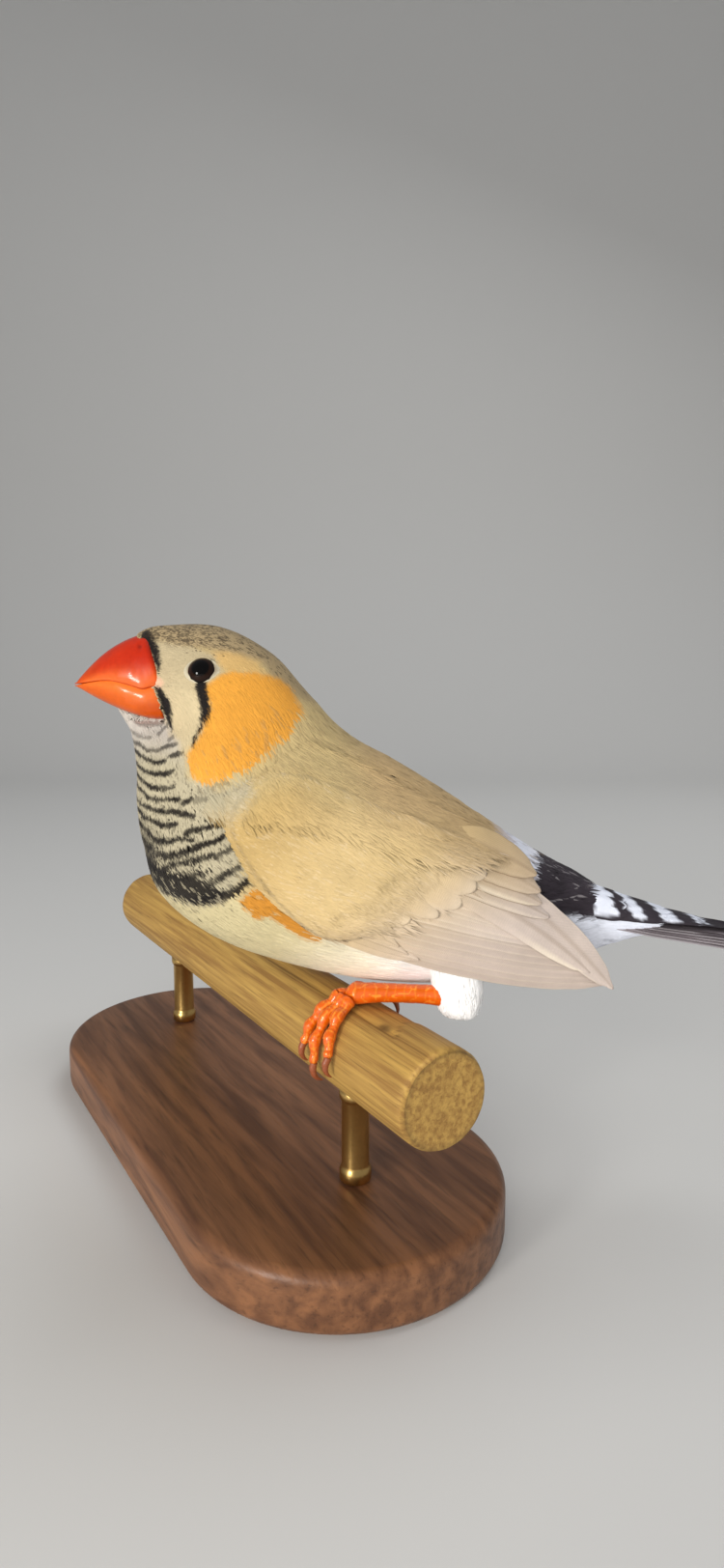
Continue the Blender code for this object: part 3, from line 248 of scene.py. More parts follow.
# Throat bars: how dark each is, then its line
BARS = (
    (0.5, ((-33.0, 7.7, 0.07), (-31.1, 7.4, 0.08), (-28.8, 6.9, 0.1), (-27.2, 6.7, 0.08))),
    (0.6, ((-26.2, 7.1, 0.08), (-25.3, 8.2, 0.11), (-24.7, 8.2, 0.06))),
    (0.6, ((-24.5, 6.6, 0.1), (-23.8, 7.0, 0.11))),
    (0.75, ((-33.0, 6.1, 0.12), (-28.8, 5.9, 0.12), (-27.3, 5.2, 0.11), (-26.0, 5.2, 0.11),
            (-24.4, 5.9, 0.11), (-23.3, 6.1, 0.08))),
    (1.0, ((-33.0, 4.8, 0.15), (-29.6, 4.9, 0.15), (-27.8, 4.2, 0.14), (-26.1, 3.7, 0.21),
           (-24.8, 4.0, 0.13))),
    (0.85, ((-24.0, 4.6, 0.11), (-22.8, 5.0, 0.16), (-22.2, 5.0, 0.1))),
    (1.0, ((-33.0, 3.3, 0.15), (-29.6, 3.3, 0.15), (-27.8, 2.6, 0.14), (-26.1, 2.3, 0.19),
           (-24.2, 2.5, 0.2), (-23.5, 2.9, 0.1))),
    (1.0, ((-33.0, 2.0, 0.17), (-29.8, 2.0, 0.17), (-28.1, 1.3, 0.15), (-26.7, 0.6, 0.21),
           (-24.7, 0.6, 0.21), (-23.4, 0.9, 0.08))),
    (0.95, ((-33.0, 0.7, 0.16), (-30.0, 0.7, 0.16), (-28.5, 0.1, 0.14), (-27.2, -0.8, 0.16),
            (-25.5, -0.9, 0.16), (-24.3, -0.7, 0.18), (-22.8, -0.6, 0.15))),
    (0.95, ((-22.1, -1.1, 0.21), (-21.1, -0.5, 0.14))),
    (0.95, ((-33.0, -0.9, 0.16), (-30.4, -1.0, 0.16), (-28.8, -1.8, 0.14), (-27.5, -2.0, 0.14),
            (-25.7, -2.3, 0.19), (-23.2, -2.2, 0.26), (-20.9, -2.6, 0.23))),
    (1.0, ((-33.0, -2.4, 0.22), (-30.4, -2.5, 0.22), (-28.7, -2.9, 0.2), (-28.3, -3.5, 0.24),
           (-26.9, -3.6, 0.18), (-25.4, -4.1, 0.28), (-24.2, -4.0, 0.28), (-23.0, -3.7, 0.12))),
    (0.95, ((-21.9, -4.8, 0.27), (-21.0, -4.4, 0.3), (-19.7, -4.1, 0.17), (-18.6, -3.8, 0.19),
            (-17.6, -3.6, 0.18), (-16.9, -3.5, 0.1))),
    (1.0, ((-33.0, -4.3, 0.3), (-29.6, -4.4, 0.3), (-27.7, -5.2, 0.26), (-26.6, -6.2, 0.4),
           (-24.9, -6.1, 0.36), (-23.9, -6.0, 0.16), (-22.9, -5.5, 0.16), (-21.0, -5.6, 0.09))),
    (1.0, ((-33.0, -6.6, 0.4), (-29.0, -6.8, 0.45), (-26.4, -8.0, 0.6), (-24.8, -8.0, 0.42),
           (-23.1, -7.5, 0.32), (-21.4, -7.0, 0.31), (-20.1, -6.3, 0.24), (-19.0, -5.9, 0.2),
           (-17.6, -5.4, 0.2), (-16.7, -4.7, 0.14))),
    (1.0, ((-25.3, -9.7, 0.24), (-23.2, -8.8, 0.33), (-21.5, -8.5, 0.29), (-19.8, -7.8, 0.29),
           (-19.0, -7.6, 0.24), (-18.5, -7.3, 0.12))),
    (0.8, ((-18.0, -7.4, 0.19), (-16.6, -6.8, 0.2), (-15.7, -6.2, 0.19), (-15.0, -5.9, 0.12))),
    (1.0, ((-33.0, -8.6, 0.4), (-28.4, -8.9, 0.45), (-26.0, -9.9, 0.54), (-24.1, -10.5, 0.4),
           (-22.1, -10.3, 0.29), (-20.8, -9.9, 0.27), (-19.1, -9.5, 0.22))),
    (0.9, ((-18.6, -10.8, 0.24), (-17.7, -10.3, 0.27), (-16.6, -9.5, 0.27), (-15.6, -8.9, 0.22),
           (-14.6, -8.5, 0.12))),
    (1.0, ((-20.9, -13.5, 0.5), (-19.4, -13.5, 0.49), (-17.9, -12.8, 0.49), (-16.4, -12.3, 0.55),
           (-15.0, -11.5, 0.4), (-14.0, -10.3, 0.22))),
    (0.45, ((-20.6, -0.7, 0.26), (-18.3, -0.3, 0.22))),
    (0.35, ((-20.0, 0.4, 0.15), (-17.9, 0.7, 0.17), (-16.6, 1.3, 0.15))),
)


def srgb(red, green, blue):
    """Linear colour of a screen colour given as 0 to 255."""
    c = np.array([red, green, blue]) / 255.0
    return np.where(c <= 0.04045, c / 12.92, ((c + 0.055) / 1.055) ** 2.4)


# Screen colours of the plumage, the bare parts and the stand
SCREEN_TONES = dict(
    crown=(159, 139, 104), fleck=(50, 40, 30), dash=(138, 116, 84), face=(194, 177, 141),
    buff=(201, 163, 101), cheek=(213, 149, 57), neck=(188, 166, 118), mantle=(186, 158, 114),
    throat=(174, 164, 137), chin=(186, 178, 168), bar=(24, 19, 16), black=(24, 20, 18),
    belly_front=(195, 182, 141), belly=(246, 239, 218), white=(254, 252, 250),
    flank=(193, 131, 48), rump=(198, 199, 213), wing_front=(183, 154, 99),
    wing_middle=(204, 178, 128), wing_rear=(207, 191, 180), wing_edge=(240, 226, 204),
    wing_shade=(150, 128, 108), tertial_shadow=(112, 88, 66), wing_shaft=(140, 116, 92),
    tail=(140, 129, 132), tail_edge=(176, 170, 172), bar_white=(226, 230, 242),
    bar_black=(51, 45, 51), skin_pink=(226, 176, 150), lid=(188, 178, 152),
    lid_inner=(120, 104, 84), iris=(34, 19, 12), pupil=(6, 5, 5), leg=(220, 93, 0),
    leg_line=(255, 168, 60), leg_deep=(206, 66, 6), claw=(120, 78, 50), bill_red=(174, 32, 0),
    bill_light=(194, 58, 0), bill_orange=(198, 82, 0), bill_rim=(255, 140, 60),
    nostril=(110, 20, 6), perch_dark=(146, 108, 54), perch_light=(186, 148, 76),
    base_dark=(92, 58, 36), base_light=(132, 88, 56), brass=(206, 170, 104),
)
TONES = {name: srgb(*tone) for name, tone in SCREEN_TONES.items()}


def smooth(values, s):
    """A Catmull-Rom curve through evenly spaced values, read at s, straight past its ends."""
    v = np.asarray(values, float)
    s = np.asarray(s, float)
    near = np.clip(s, 0, len(v) - 1)
    i = np.minimum(near.astype(int), len(v) - 2)
    f = (near - i).reshape(s.shape + (1,) * (v.ndim - 1))
    pad = np.concatenate([2 * v[:1] - v[1:2], v, 2 * v[-1:] - v[-2:-1]])
    p0, p1, p2, p3 = pad[i], pad[i + 1], pad[i + 2], pad[i + 3]
    bend = 2 * p0 - 5 * p1 + 4 * p2 - p3
    twist = 3 * (p1 - p2) + p3 - p0
    past = (s - near).reshape(f.shape)
    slope = np.where(past > 0, v[-1] - v[-2], v[1] - v[0])
    return p1 + 0.5 * f * (p2 - p0 + f * (bend + f * twist)) + slope * past


def step(low, high, value):
    """Nought below low, one above high, and 3t^2 - 2t^3 between."""
    t = np.clip((value - low) / (high - low), 0, 1)
    return t * t * (3 - 2 * t)


def keep_sign(value, power):
    """A value's size raised to a power, with its sign kept."""
    return np.sign(value) * np.abs(value) ** power


def ring(count):
    """Evenly spaced angles once round."""
    return np.linspace(0, 2 * np.pi, count, endpoint=False)


def stacked(*parts):
    """Spreads arrays to one shape and stacks them into points."""
    return np.stack(np.broadcast_arrays(*parts), -1)


def between(one, two, share):
    """A point part of the way from one to two."""
    return np.array(one) * (1 - share) + np.array(two) * share


def body_point(s, angle, swell=0.0):
    """The body's surface at station s and angle round the section, grown by swell: the
    section is a superellipse between the top and bottom lines, wider low down by egg."""
    top, bottom = smooth(TOP, s), smooth(BOTTOM, s)
    half = (top - bottom) / 2
    reach = np.linalg.norm(half, axis=-1)
    lift = keep_sign(np.sin(angle), SECTION_POWER)
    side = keep_sign(np.cos(angle), SECTION_POWER)
    middle = (top + bottom) / 2
    place = middle + half * ((reach + swell) / reach * lift)[..., None]
    width = (smooth(HALF_WIDTH, s) + swell) * (1 - smooth(EGG, s) * lift)
    return np.stack([place[..., 0], width * side, place[..., 1]], -1)


def body_half_width(x, z):
    """Half width of the body at a point of its side view, nought outside the outline."""
    x, z = np.broadcast_arrays(np.asarray(x, float), np.asarray(z, float))
    low = np.zeros(x.shape)
    high = np.full(x.shape, TAIL_END)
    for _ in range(24):
        s = (low + high) / 2
        top, bottom = smooth(TOP, s), smooth(BOTTOM, s)
        rise = top - bottom
        ahead = rise[..., 0] * (z - bottom[..., 1]) - rise[..., 1] * (x - bottom[..., 0])
        low = np.where(ahead < 0, s, low)
        high = np.where(ahead < 0, high, s)
    top, bottom = smooth(TOP, low), smooth(BOTTOM, low)
    rise = top - bottom
    share = (x - bottom[..., 0]) * rise[..., 0] + (z - bottom[..., 1]) * rise[..., 1]
    lift = 2 * share / (rise**2).sum(-1) - 1
    power = 2 / SECTION_POWER
    room = np.clip(1 - np.abs(lift) ** power, 0, 1) ** (1 / power)
    return smooth(HALF_WIDTH, low) * room * (1 - smooth(EGG, low) * lift)


def coat_depth(s):
    """The coat's depth at each station, straight between the stations."""
    return np.interp(s, np.arange(len(COAT_DEPTH)), COAT_DEPTH)


def bill_edge(z):
    """Where the feathers begin behind the bill, along x, at each height."""
    return np.interp(z, BILL_EDGE[1], BILL_EDGE[0])


def hinge(distance):
    """Twice a distance where it is above nought, nought below, with a soft bend between."""
    return distance + np.hypot(distance, 0.5)


def body_chart(s, angle, lift):
    """A point at a height over the skin, which lies inside the body by the coat's depth. The
    face is drawn in to the bill: its half width w becomes w / (1 + (w / r)^8)^(1/8), where r
    grows with the distance behind and under the bill's base, and is less at its lower corner."""
    point = body_point(s, angle, lift - coat_depth(s))
    x, z = point[..., 0], point[..., 2]
    behind, under = x - bill_edge(z), 8.7 - z
    room = 3.8 + 0.48 * hinge(behind) + 0.55 * hinge(under) + lift
    room -= 2.3 * step(10.5, 9.4, z) * step(8.4, 9.1, z) * step(0.2, -0.8, behind)
    point[..., 1] /= (1 + (np.abs(point[..., 1]) / room) ** 8) ** 0.125
    return point


def wing_place(x, z):
    """Distance along the wing from its wrist, and across it, of a point of the side view."""
    x, z = x - WRIST[0], z - WRIST[1]
    return x * WING_ALONG[0] + z * WING_ALONG[1], x * WING_ACROSS[0] + z * WING_ACROSS[1]


# Noise and outlines, worked out on whole arrays
LATTICE = np.random.default_rng(7).random((32, 32, 32))


def cloud(points, size, shift=0.0):
    """Smooth value noise from -1 to 1: random numbers on a lattice of that size, blended."""
    p = np.asarray(points) / size + shift + 200.0
    base = np.floor(p).astype(int)
    f = p - base
    f = f * f * (3 - 2 * f)
    total = np.zeros(p.shape[:-1])
    for corner in range(8):
        bits = np.array([corner & 1, corner >> 1 & 1, corner >> 2 & 1])
        w = np.where(bits, f, 1 - f).prod(-1)
        i = (base + bits) % 32
        total += w * LATTICE[i[..., 0], i[..., 1], i[..., 2]]
    return total * 2 - 1


def outline_depth(outline, x, z):
    """How far inside a closed outline a point lies, in millimetres, negative outside."""
    corners = np.array(outline, float)
    nearest = np.full(x.shape, 1e9)
    inside = np.zeros(x.shape, bool)
    for a, b in zip(corners, np.roll(corners, -1, 0)):
        d = b - a
        t = np.clip(((x - a[0]) * d[0] + (z - a[1]) * d[1]) / (d @ d), 0, 1)
        gap = (x - a[0] - d[0] * t) ** 2 + (z - a[1] - d[1] * t) ** 2
        nearest = np.minimum(nearest, gap)
        crossed = (a[1] > z) != (b[1] > z)
        if a[1] != b[1]:
            inside ^= crossed & (x < a[0] + d[0] * (z - a[1]) / d[1])
    return np.where(inside, 1, -1) * np.sqrt(nearest)


def stripe_depth(line, x, z):
    """How far inside a stripe of changing width a point lies, in millimetres."""
    deepest = np.full(x.shape, -1e9)
    line = np.array(line, float)
    for a, b in zip(line[:-1], line[1:]):
        d = b[:2] - a[:2]
        t = np.clip(((x - a[0]) * d[0] + (z - a[1]) * d[1]) / (d @ d), 0, 1)
        gap = np.hypot(x - a[0] - d[0] * t, z - a[1] - d[1] * t)
        deepest = np.maximum(deepest, a[2] + (b[2] - a[2]) * t - gap)
    return deepest


def over(colour, tone, weight):
    """Lays a tone over colours by weight."""
    return colour + (np.asarray(tone) - colour) * weight[..., None]


def plain(tone, shape):
    """One named tone at every place of a shape."""
    return np.broadcast_to(TONES[tone], (*shape, 3))


def graded(first, last, share):
    """From one named tone to another by share."""
    return TONES[first] + (TONES[last] - TONES[first]) * share[..., None]


def both_sides(points):
    """The points with one side laid on the other, so that noise is the same on both."""
    return stacked(points[..., 0], np.abs(points[..., 1]), points[..., 2])


def barring(x, z, waver):
    """The barred throat, from 0 to 1: the darkest of its stripes at a place, and towards the
    throat's front lower edge a dark zone that is partly the crowded bars and partly painted shade.
    """
    dark = np.zeros(x.shape)
    near = (x < -10) & (z > -16) & (z < 10)
    at_x, at_z, shake = x[near], z[near], waver[near]
    most = np.zeros(at_x.shape)
    for weight, line in BARS:
        depth = stripe_depth(line, at_x, at_z) + 0.13 + 0.05 * step(-3, -10, at_z) + shake
        most = np.maximum(most, weight * step(-0.07, 0.07, depth))
    # towards the throat's front lower edge the bars deepen to black: partly the crowded bars,
    # partly painted shade
    front = step(-24.5, -28.0, at_x) * step(-2.5, -7.5, at_z)
    most = np.maximum(most, np.clip(0.62 + 5 * shake, 0, 1) * front)
    dark[near] = most
    return dark


def paint_body(points, ragged):
    """The bird's markings at points of its body, the same on both sides: each patch is an
    outline in the side view whose edge is softened and made ragged by noise. With them goes
    how far each point lies in the crown."""
    fold = both_sides(points)
    drift, fine, large = cloud(fold, 2.2), cloud(fold, 0.7, 9.0), cloud(fold, 6.0, 3.0)
    x = points[..., 0] + ragged * 0.07
    z = points[..., 2] + ragged * 0.05

    def patch(outline, soft, rough=0.25):
        depth = outline_depth(outline, x, z) + rough * drift + 0.4 * rough * fine
        return step(-soft, soft, depth)

    def stripe(line, soft, rough):
        return step(-soft, soft + 0.02, stripe_depth(line, x, z) + rough * fine)

    crown = patch(CROWN, 0.7)
    belly = patch(BELLY, 0.35, 0.3)
    spots = step(0.5, 0.62, cloud(fold, 1.05, 14.0))
    face = TONES["face"] * (0.8 + 0.2 * step(16.0, 11.0, z + 0.8 * drift))[..., None]
    bars = np.clip(barring(x, z, 0.06 * drift + 0.05 * fine) * (0.97 + 0.2 * fine), 0, 0.97)
    gape = np.hypot((x + 26.4) / 0.9, (z - 13.7) / 0.8)
    cream = graded("belly_front", "belly", step(-12, 8, x + 0.6 * (-20 - z)))
    band = TONES["bar_black"] * (1 + 0.3 * drift)[..., None]
    colour = plain("mantle", x.shape)
    for tone, weight in (
        (TONES["neck"], step(4.0, -4.0, x)),
        (TONES["crown"], crown),
        (face, patch(FACE, 0.45, 0.15)),
        (TONES["buff"], 0.8 * patch(BUFF, 0.6)),
        (graded("chin", "throat", step(8.0, 3.0, z)), patch(THROAT, 0.8, 0.4)),
        (TONES["bar"], bars),
        (TONES["black"], 0.97 * patch(BREAST, 0.35, 0.4)),
        (TONES["skin_pink"], 0.6 * step(1.15, 0.75, gape)),
        (cream, belly),
        (TONES["white"], belly * step(0, 9, x)),
        (TONES["flank"], patch(FLANK, 0.35, 0.35) * (1 - 0.75 * spots)),
        (TONES["rump"], 0.8 * patch(RUMP, 1.8, 0.6) * step(-0.5, 0.5, z + 20)),
        (TONES["bar_white"], 0.8 * patch(RUMP_WHITE, 0.8, 0.8) * (fine > -0.5)),
        (TONES["bar_white"], step(21.5, 23.5, x) * step(-14.0, -15.0, z)),
        (band, patch(BLACK_BAND, 0.6, 0.8) * step(-17.9, -17.0, z)),
        (TONES["cheek"], patch(CHEEK, 0.3, 0.2)),
        (TONES["black"], stripe(TEAR, 0.12, 0.16)),
        (TONES["black"], stripe(LORE_UP, 0.1, 0.12)),
        (TONES["black"], stripe(LORE_LOW, 0.1, 0.12)),
    ):
        colour = over(colour, tone, weight)
    tone = 1 + 0.045 * large + 0.035 * drift
    return np.clip(colour * tone[..., None], 0, 1), crown


def body_tint(points, ragged):
    """The markings alone."""
    return paint_body(points, ragged)[0]


def paint_wing(points):
    """Wing colours: golden at the wrist, pink-grey to the tip, in soft lobes."""
    along, across = wing_place(points[..., 0], points[..., 2])
    middle = step(2.0, 17.0, along)[..., None]
    rear = step(17.0, 38.0, along - 0.6 * across)[..., None]
    colour = TONES["wing_front"] * (1 - middle) + TONES["wing_middle"] * middle
    colour = colour * (1 - rear) + TONES["wing_rear"] * rear
    fold = both_sides(points)
    tone = 1 + 0.07 * cloud(fold, 5.0, 2.0) + 0.03 * cloud(fold, 1.6, 4.0)
    return colour * tone[..., None]


def paint_shoulder(points, ragged):
    """Where the neck and mantle run over the wing: the body's markings fade into the wing's
    colours, backwards and downwards."""
    a, c = wing_place(points[..., 0], points[..., 2])
    a, c = a + 0.4 * ragged, c + 0.5 * ragged
    blend = step(12.0, 5.0, c) * step(-2.6, 3.4, a - 0.6 * (c - 1))
    return over(body_tint(points, ragged), paint_wing(points), blend)


# Meshes
def put(name, points, faces, finish, origin=BIRD_ORIGIN, tint=None, maps=None, normals=None):
    """One mesh object from points in millimetres, faces as arrays of corners, a colour for
    each point, any UV maps and shading normals. It rides on the one body and takes a slot's
    finish."""
    mesh = bpy.data.meshes.new(name)
    points = np.asarray(points, float).reshape(-1, 3)
    mesh.vertices.add(len(points))
    mesh.vertices.foreach_set("co", ((points + origin) * MM).ravel())
    groups = [np.asarray(group, int) for group in faces if len(group)]
    corners = np.concatenate([group.ravel() for group in groups])
    sizes = np.concatenate([np.full(len(group), group.shape[1]) for group in groups])
    mesh.loops.add(len(corners))
    mesh.loops.foreach_set("vertex_index", corners)
    mesh.polygons.add(len(sizes))
    mesh.polygons.foreach_set("loop_start", np.concatenate([[0], np.cumsum(sizes)[:-1]]))
    mesh.polygons.foreach_set("use_smooth", np.full(len(sizes), True))
    mesh.update(calc_edges=True)
    if tint is not None:
        layer = mesh.attributes.new("tint", "FLOAT_COLOR", "POINT")
        rgba = np.ones((len(points), 4))
        rgba[:, :3] = np.asarray(tint).reshape(-1, 3)
        layer.data.foreach_set("color", rgba.ravel())
    for key, places in (maps or {}).items():
        layer = mesh.uv_layers.new(name=key)
        layer.data.foreach_set("uv", np.asarray(places).reshape(-1, 2)[corners].ravel())
    if normals is not None:
        mesh.normals_split_custom_set_from_vertices(np.asarray(normals).reshape(-1, 3).tolist())
    mesh.materials.append(finish)
    made = bpy.data.objects.new(name, mesh)
    bpy.context.scene.collection.objects.link(made)
    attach(made, "root")
    return made


def grid_faces(rows, around, close=True, flip=False):
    """Four-cornered faces of a grid of rows, closed round each row or left open."""
    count = around if close else around - 1
    row, col = np.meshgrid(np.arange(rows - 1), np.arange(count), indexing="ij")
    nxt = (col + 1) % around
    a, b = row * around + col, row * around + nxt
    quads = np.stack([a, b, b + around, a + around], -1).reshape(-1, 4)
    return quads[:, ::-1] if flip else quads


def loft(rings, flip=False):
    """Points and faces of a closed surface through rings, with a fan of triangles on each end."""
    rings = np.asarray(rings, float)
    count, around = rings.shape[:2]
    points = np.concatenate([rings.reshape(-1, 3), [rings[0].mean(0), rings[-1].mean(0)]])
    col = np.arange(around)
    nxt = (col + 1) % around
    last = (count - 1) * around
    start = np.stack([nxt, col, np.full(around, count * around)], -1)
    end = np.stack([last + col, last + nxt, np.full(around, count * around + 1)], -1)
    caps = np.concatenate([start, end])
    if flip:
        caps = caps[:, ::-1]
    return points, grid_faces(count, around, True, flip), caps


def merge(parts):
    """Joins meshes given as (points, quads, triangles, tint) into one."""
    shift, points, quads, caps, tint = 0, [], [], [], []
    for one in parts:
        points.append(one[0])
        quads.append(np.asarray(one[1]).reshape(-1, 4) + shift)
        caps.append(np.asarray(one[2]).reshape(-1, 3) + shift)
        tint.append(np.broadcast_to(one[3], one[0].shape))
        shift += len(one[0])
    faces = [np.concatenate(quads), np.concatenate(caps)]
    return np.concatenate(points), faces, np.concatenate(tint)


def with_ends(tint):
    """A loft's colours in a row, with those of its two end points."""
    return np.concatenate([tint.reshape(-1, 3), tint[0, :1], tint[-1, :1]])


# Tufts
def chart_frame(chart, root):
    """How a chart stretches at each root: the first direction's stretch, the second's slant
    and stretch across it, whether the two turn the right way about the outside, and the
    outward and sideways directions."""
    p, q = root[:, 0], root[:, 1]
    e = 1e-3
    zero = np.zeros(len(root))
    ahead = (chart(p + e, q, zero) - chart(p - e, q, zero)) / (2 * e)
    beside = (chart(p, q + e, zero) - chart(p, q - e, zero)) / (2 * e)
    out = chart(p, q, zero + 0.1) - chart(p, q, zero)
    stretch = np.linalg.norm(ahead, axis=1)
    along = ahead / stretch[:, None]
    slant = (beside * along).sum(1)
    across = beside - along * slant[:, None]
    reach = np.linalg.norm(across, axis=1)
    turn = (np.cross(along, across) * out).sum(1) > 0
    across = across / reach[:, None]
    out = np.cross(along, across) * np.where(turn, 1, -1)[:, None]
    return stretch[:, None], slant[:, None], reach[:, None], turn[:, None], out, along, across


def strands(chart, root, lie, along, aside, half, lift):
    """Thin closed barbs laid on a chart. Each has a left edge, a ridge and a right edge at
    every place along it and one tip. along, aside, half and lift are in millimetres from
    the root, measured along and across the lie, which is turned from the chart's first
    direction by the angle lie. They are shaded as the skin under them is, leaning a little
    to each side, so that a coat looks as soft as it lies."""
    stretch, slant, reach, turn, out, ahead, beside = chart_frame(chart, root)
    cos, sin = np.cos(lie)[:, None], np.sin(lie)[:, None]
    rows = []
    for part, up in ((-1, 0), (0, BARB_RIDGE), (1, 0)):
        w = aside + part * half
        u, v = along * cos - w * sin, along * sin + w * cos
        dq = v / reach
        dp = (u - slant * dq) / stretch
        rows.append(chart(root[:, :1] + dp, root[:, 1:] + dq, lift + up * half))
    count, places = along.shape
    body = np.stack(rows, 2)[:, :-1].reshape(count, -1, 3)
    points = np.concatenate([body, rows[1][:, -1:]], 1)
    sideways = (beside * cos - ahead * sin) * BARB_LEAN
    lean = np.append(np.tile([-1.0, 0.0, 1.0], places - 1), 0.0)[None, :, None]
    normals = out[:, None] + sideways[:, None] * lean
    normals /= np.linalg.norm(normals, axis=2, keepdims=True)
    faces = [(0, 1, 2)]
    for k in range(places - 2):
        for a, b in ((0, 1), (1, 2), (2, 0)):
            a, b = 3 * k + a, 3 * k + b
            faces += [(a, a + 3, b + 3), (a, b + 3, b)]
    last, tip = 3 * (places - 2), 3 * (places - 1)
    faces += [(last, tip, last + 1), (last + 1, tip, last + 2), (last + 2, tip, last)]
    faces = np.array(faces)
    faces = np.where(turn[:, :, None], faces[None], faces[None, :, ::-1])
    share = np.concatenate([np.repeat(np.arange(places - 1), 3), [places - 1]]) / (places - 1)
    return points, faces, share, normals


def coat(name, points, faces, normals, tint, home, finish):
    """Puts barbs into pieces of under 200,000 triangles each: points are (barb, place, 3)."""
    count, places = points.shape[:2]
    pieces = int(np.ceil(count * faces.shape[1] / PIECE_LIMIT))
    made = []
    for k, part in enumerate(np.array_split(np.arange(count), pieces)):
        corners = faces[part] + (np.arange(len(part)) * places)[:, None, None]
        label = name if pieces == 1 else f"{name}_{k + 1}"
        made.append(
            put(label, points[part], [corners.reshape(-1, 3)], finish,
                tint=tint[part], maps={"OFBake": home[part]}, normals=normals[part])
        )
    return made


def scatter(chart, p_range, q_range, count, weight, rng):
    """Roots spread evenly over a chart: the area of each cell, times its weight, is added up
    row by row, and the roots are read off at even steps of that sum."""
    cells = SCATTER_CELLS
    p_edge = np.linspace(*p_range, cells + 1)
    q_edge = np.linspace(*q_range, cells + 1)
    p, q = np.meshgrid(p_edge, q_edge, indexing="ij")
    at = chart(p, q, np.zeros(p.shape))
    one, two = at[1:, 1:] - at[:-1, :-1], at[1:, :-1] - at[:-1, 1:]
    area = 0.5 * np.linalg.norm(np.cross(one, two), axis=-1)
    middle = (at[1:, 1:] + at[:-1, :-1]) / 2
    area = area * weight((p[1:, 1:] + p[:-1, :-1]) / 2, (q[1:, 1:] + q[:-1, :-1]) / 2, middle)
    area[1::2] = area[1::2, ::-1]
    total = np.cumsum(area.ravel())
    want = (np.arange(count) + rng.random(count)) / count * total[-1]
    cell = np.minimum(np.searchsorted(total, want), cells * cells - 1)
    row, col = cell // cells, cell % cells
    col = np.where(row % 2 == 1, cells - 1 - col, col)
    p = p_edge[row] + rng.random(count) * (p_edge[1] - p_edge[0])
    q = q_edge[col] + rng.random(count) * (q_edge[1] - q_edge[0])
    return np.stack([p, q], -1)


def home_patch(home, along, aside, size, places):
    """OFBake places: a small patch at the barb's root on the unwrap."""
    offset = np.append(np.tile([-0.5, 0.0, 0.5], places - 1), 0.0)[None]

    def spread(value):
        return np.concatenate([np.repeat(value[:, :-1], 3, axis=1), value[:, -1:]], 1)

    u = np.clip(spread(aside) / size[:, None] + 0.2 * offset, -0.5, 0.5)
    v = np.clip(spread(along) / size[:, None], 0, 1) - 0.5
    place = np.stack([home[:, :1] + HOME_PATCH * u, home[:, 1:] + HOME_PATCH * v], -1)
    return place.reshape(len(home), -1, 2)


def soft_feathers(length, width, depth, rays, rng, places=4, cup=0.15, ragged=0.05):
    """Barbs of soft feathers: they fan out from the shaft over a rounded outline, sink
    towards the feather's edges and rise from the skin to the coat's top."""
    count = len(length)
    every = (count, rays)
    e = np.linspace(-1, 1, rays)[None] + 0.6 / rays * (rng.random(every) - 0.5)
    size = length[:, None]
    end = size * (0.6 + 0.4 * np.sqrt(np.clip(1 - 0.9 * e**2, 0, 1)))
    end = end * (1 + ragged * (rng.random(every) * 2 - 1.4))
    start = size * (0.02 + 0.1 * rng.random(every))
    t = np.linspace(0, 1, places)
    along = start[..., None] + (end - start)[..., None] * t
    fan = 0.25 + 0.75 * (1 - (1 - t) ** 2.0)
    aside = (width * e / 2)[..., None] * fan
    profile = np.interp(t, (0, 0.3, 0.8, 1.0), (0.7, 1.0, 0.8, 0.25))
    half = width / rays * 0.62 * profile * np.ones((*every, 1))
    rise = np.interp(t, (0, 0.35, 0.75, 1.0), (0.25, 0.7, 1.0, 0.95))
    bump = 0.1 * (rng.random((count, 1, 1)) - 0.5)
    lift = depth * (rise + bump) - (cup * e**2)[..., None] * (0.3 + t)
    lift = lift + 0.02 * (rng.random((*every, 1)) - 0.5)
    pick = np.repeat(np.arange(count), rays)
    return pick, *(part.reshape(count * rays, places) for part in (along, aside, half, lift))


# Wing surfaces on a fine grid
def wing_inner(x, z):
    """How far the wing's inner face stands off the middle plane: just clear of the body,
    and the wing's own bulge beyond the body's outline, blended smoothly."""
    along, across = wing_place(x, z)
    share = along / WING_LENGTH * (len(WING_BULGE) - 1)
    own = smooth(WING_BULGE, share) - WING_BEND * (across - WING_MIDDLE) ** 2
    body = body_half_width(x, z) + WING_CLEARANCE
    return (own + body + np.sqrt((own - body) ** 2 + WING_BLEND**2)) / 2


WING_GRID = (np.linspace(-3, 57, 241), np.linspace(-12, 13, 101))


def wing_table():
    """Inner face and its normal at every place of the wing's grid."""
    a, c = np.meshgrid(*WING_GRID, indexing="ij")
    x = WRIST[0] + a * WING_ALONG[0] + c * WING_ACROSS[0]
    z = WRIST[1] + a * WING_ALONG[1] + c * WING_ACROSS[1]
    y = wing_inner(x, z)
    e = 0.4
    slope_x = (wing_inner(x + e, z) - wing_inner(x - e, z)) / (2 * e)
    slope_z = (wing_inner(x, z + e) - wing_inner(x, z - e)) / (2 * e)
    normal = np.stack([-slope_x, np.ones_like(y), -slope_z], -1)
    normal /= np.linalg.norm(normal, axis=-1, keepdims=True)
    return np.concatenate([np.stack([x, y, z], -1), normal], -1)


WING_TABLE = wing_table()


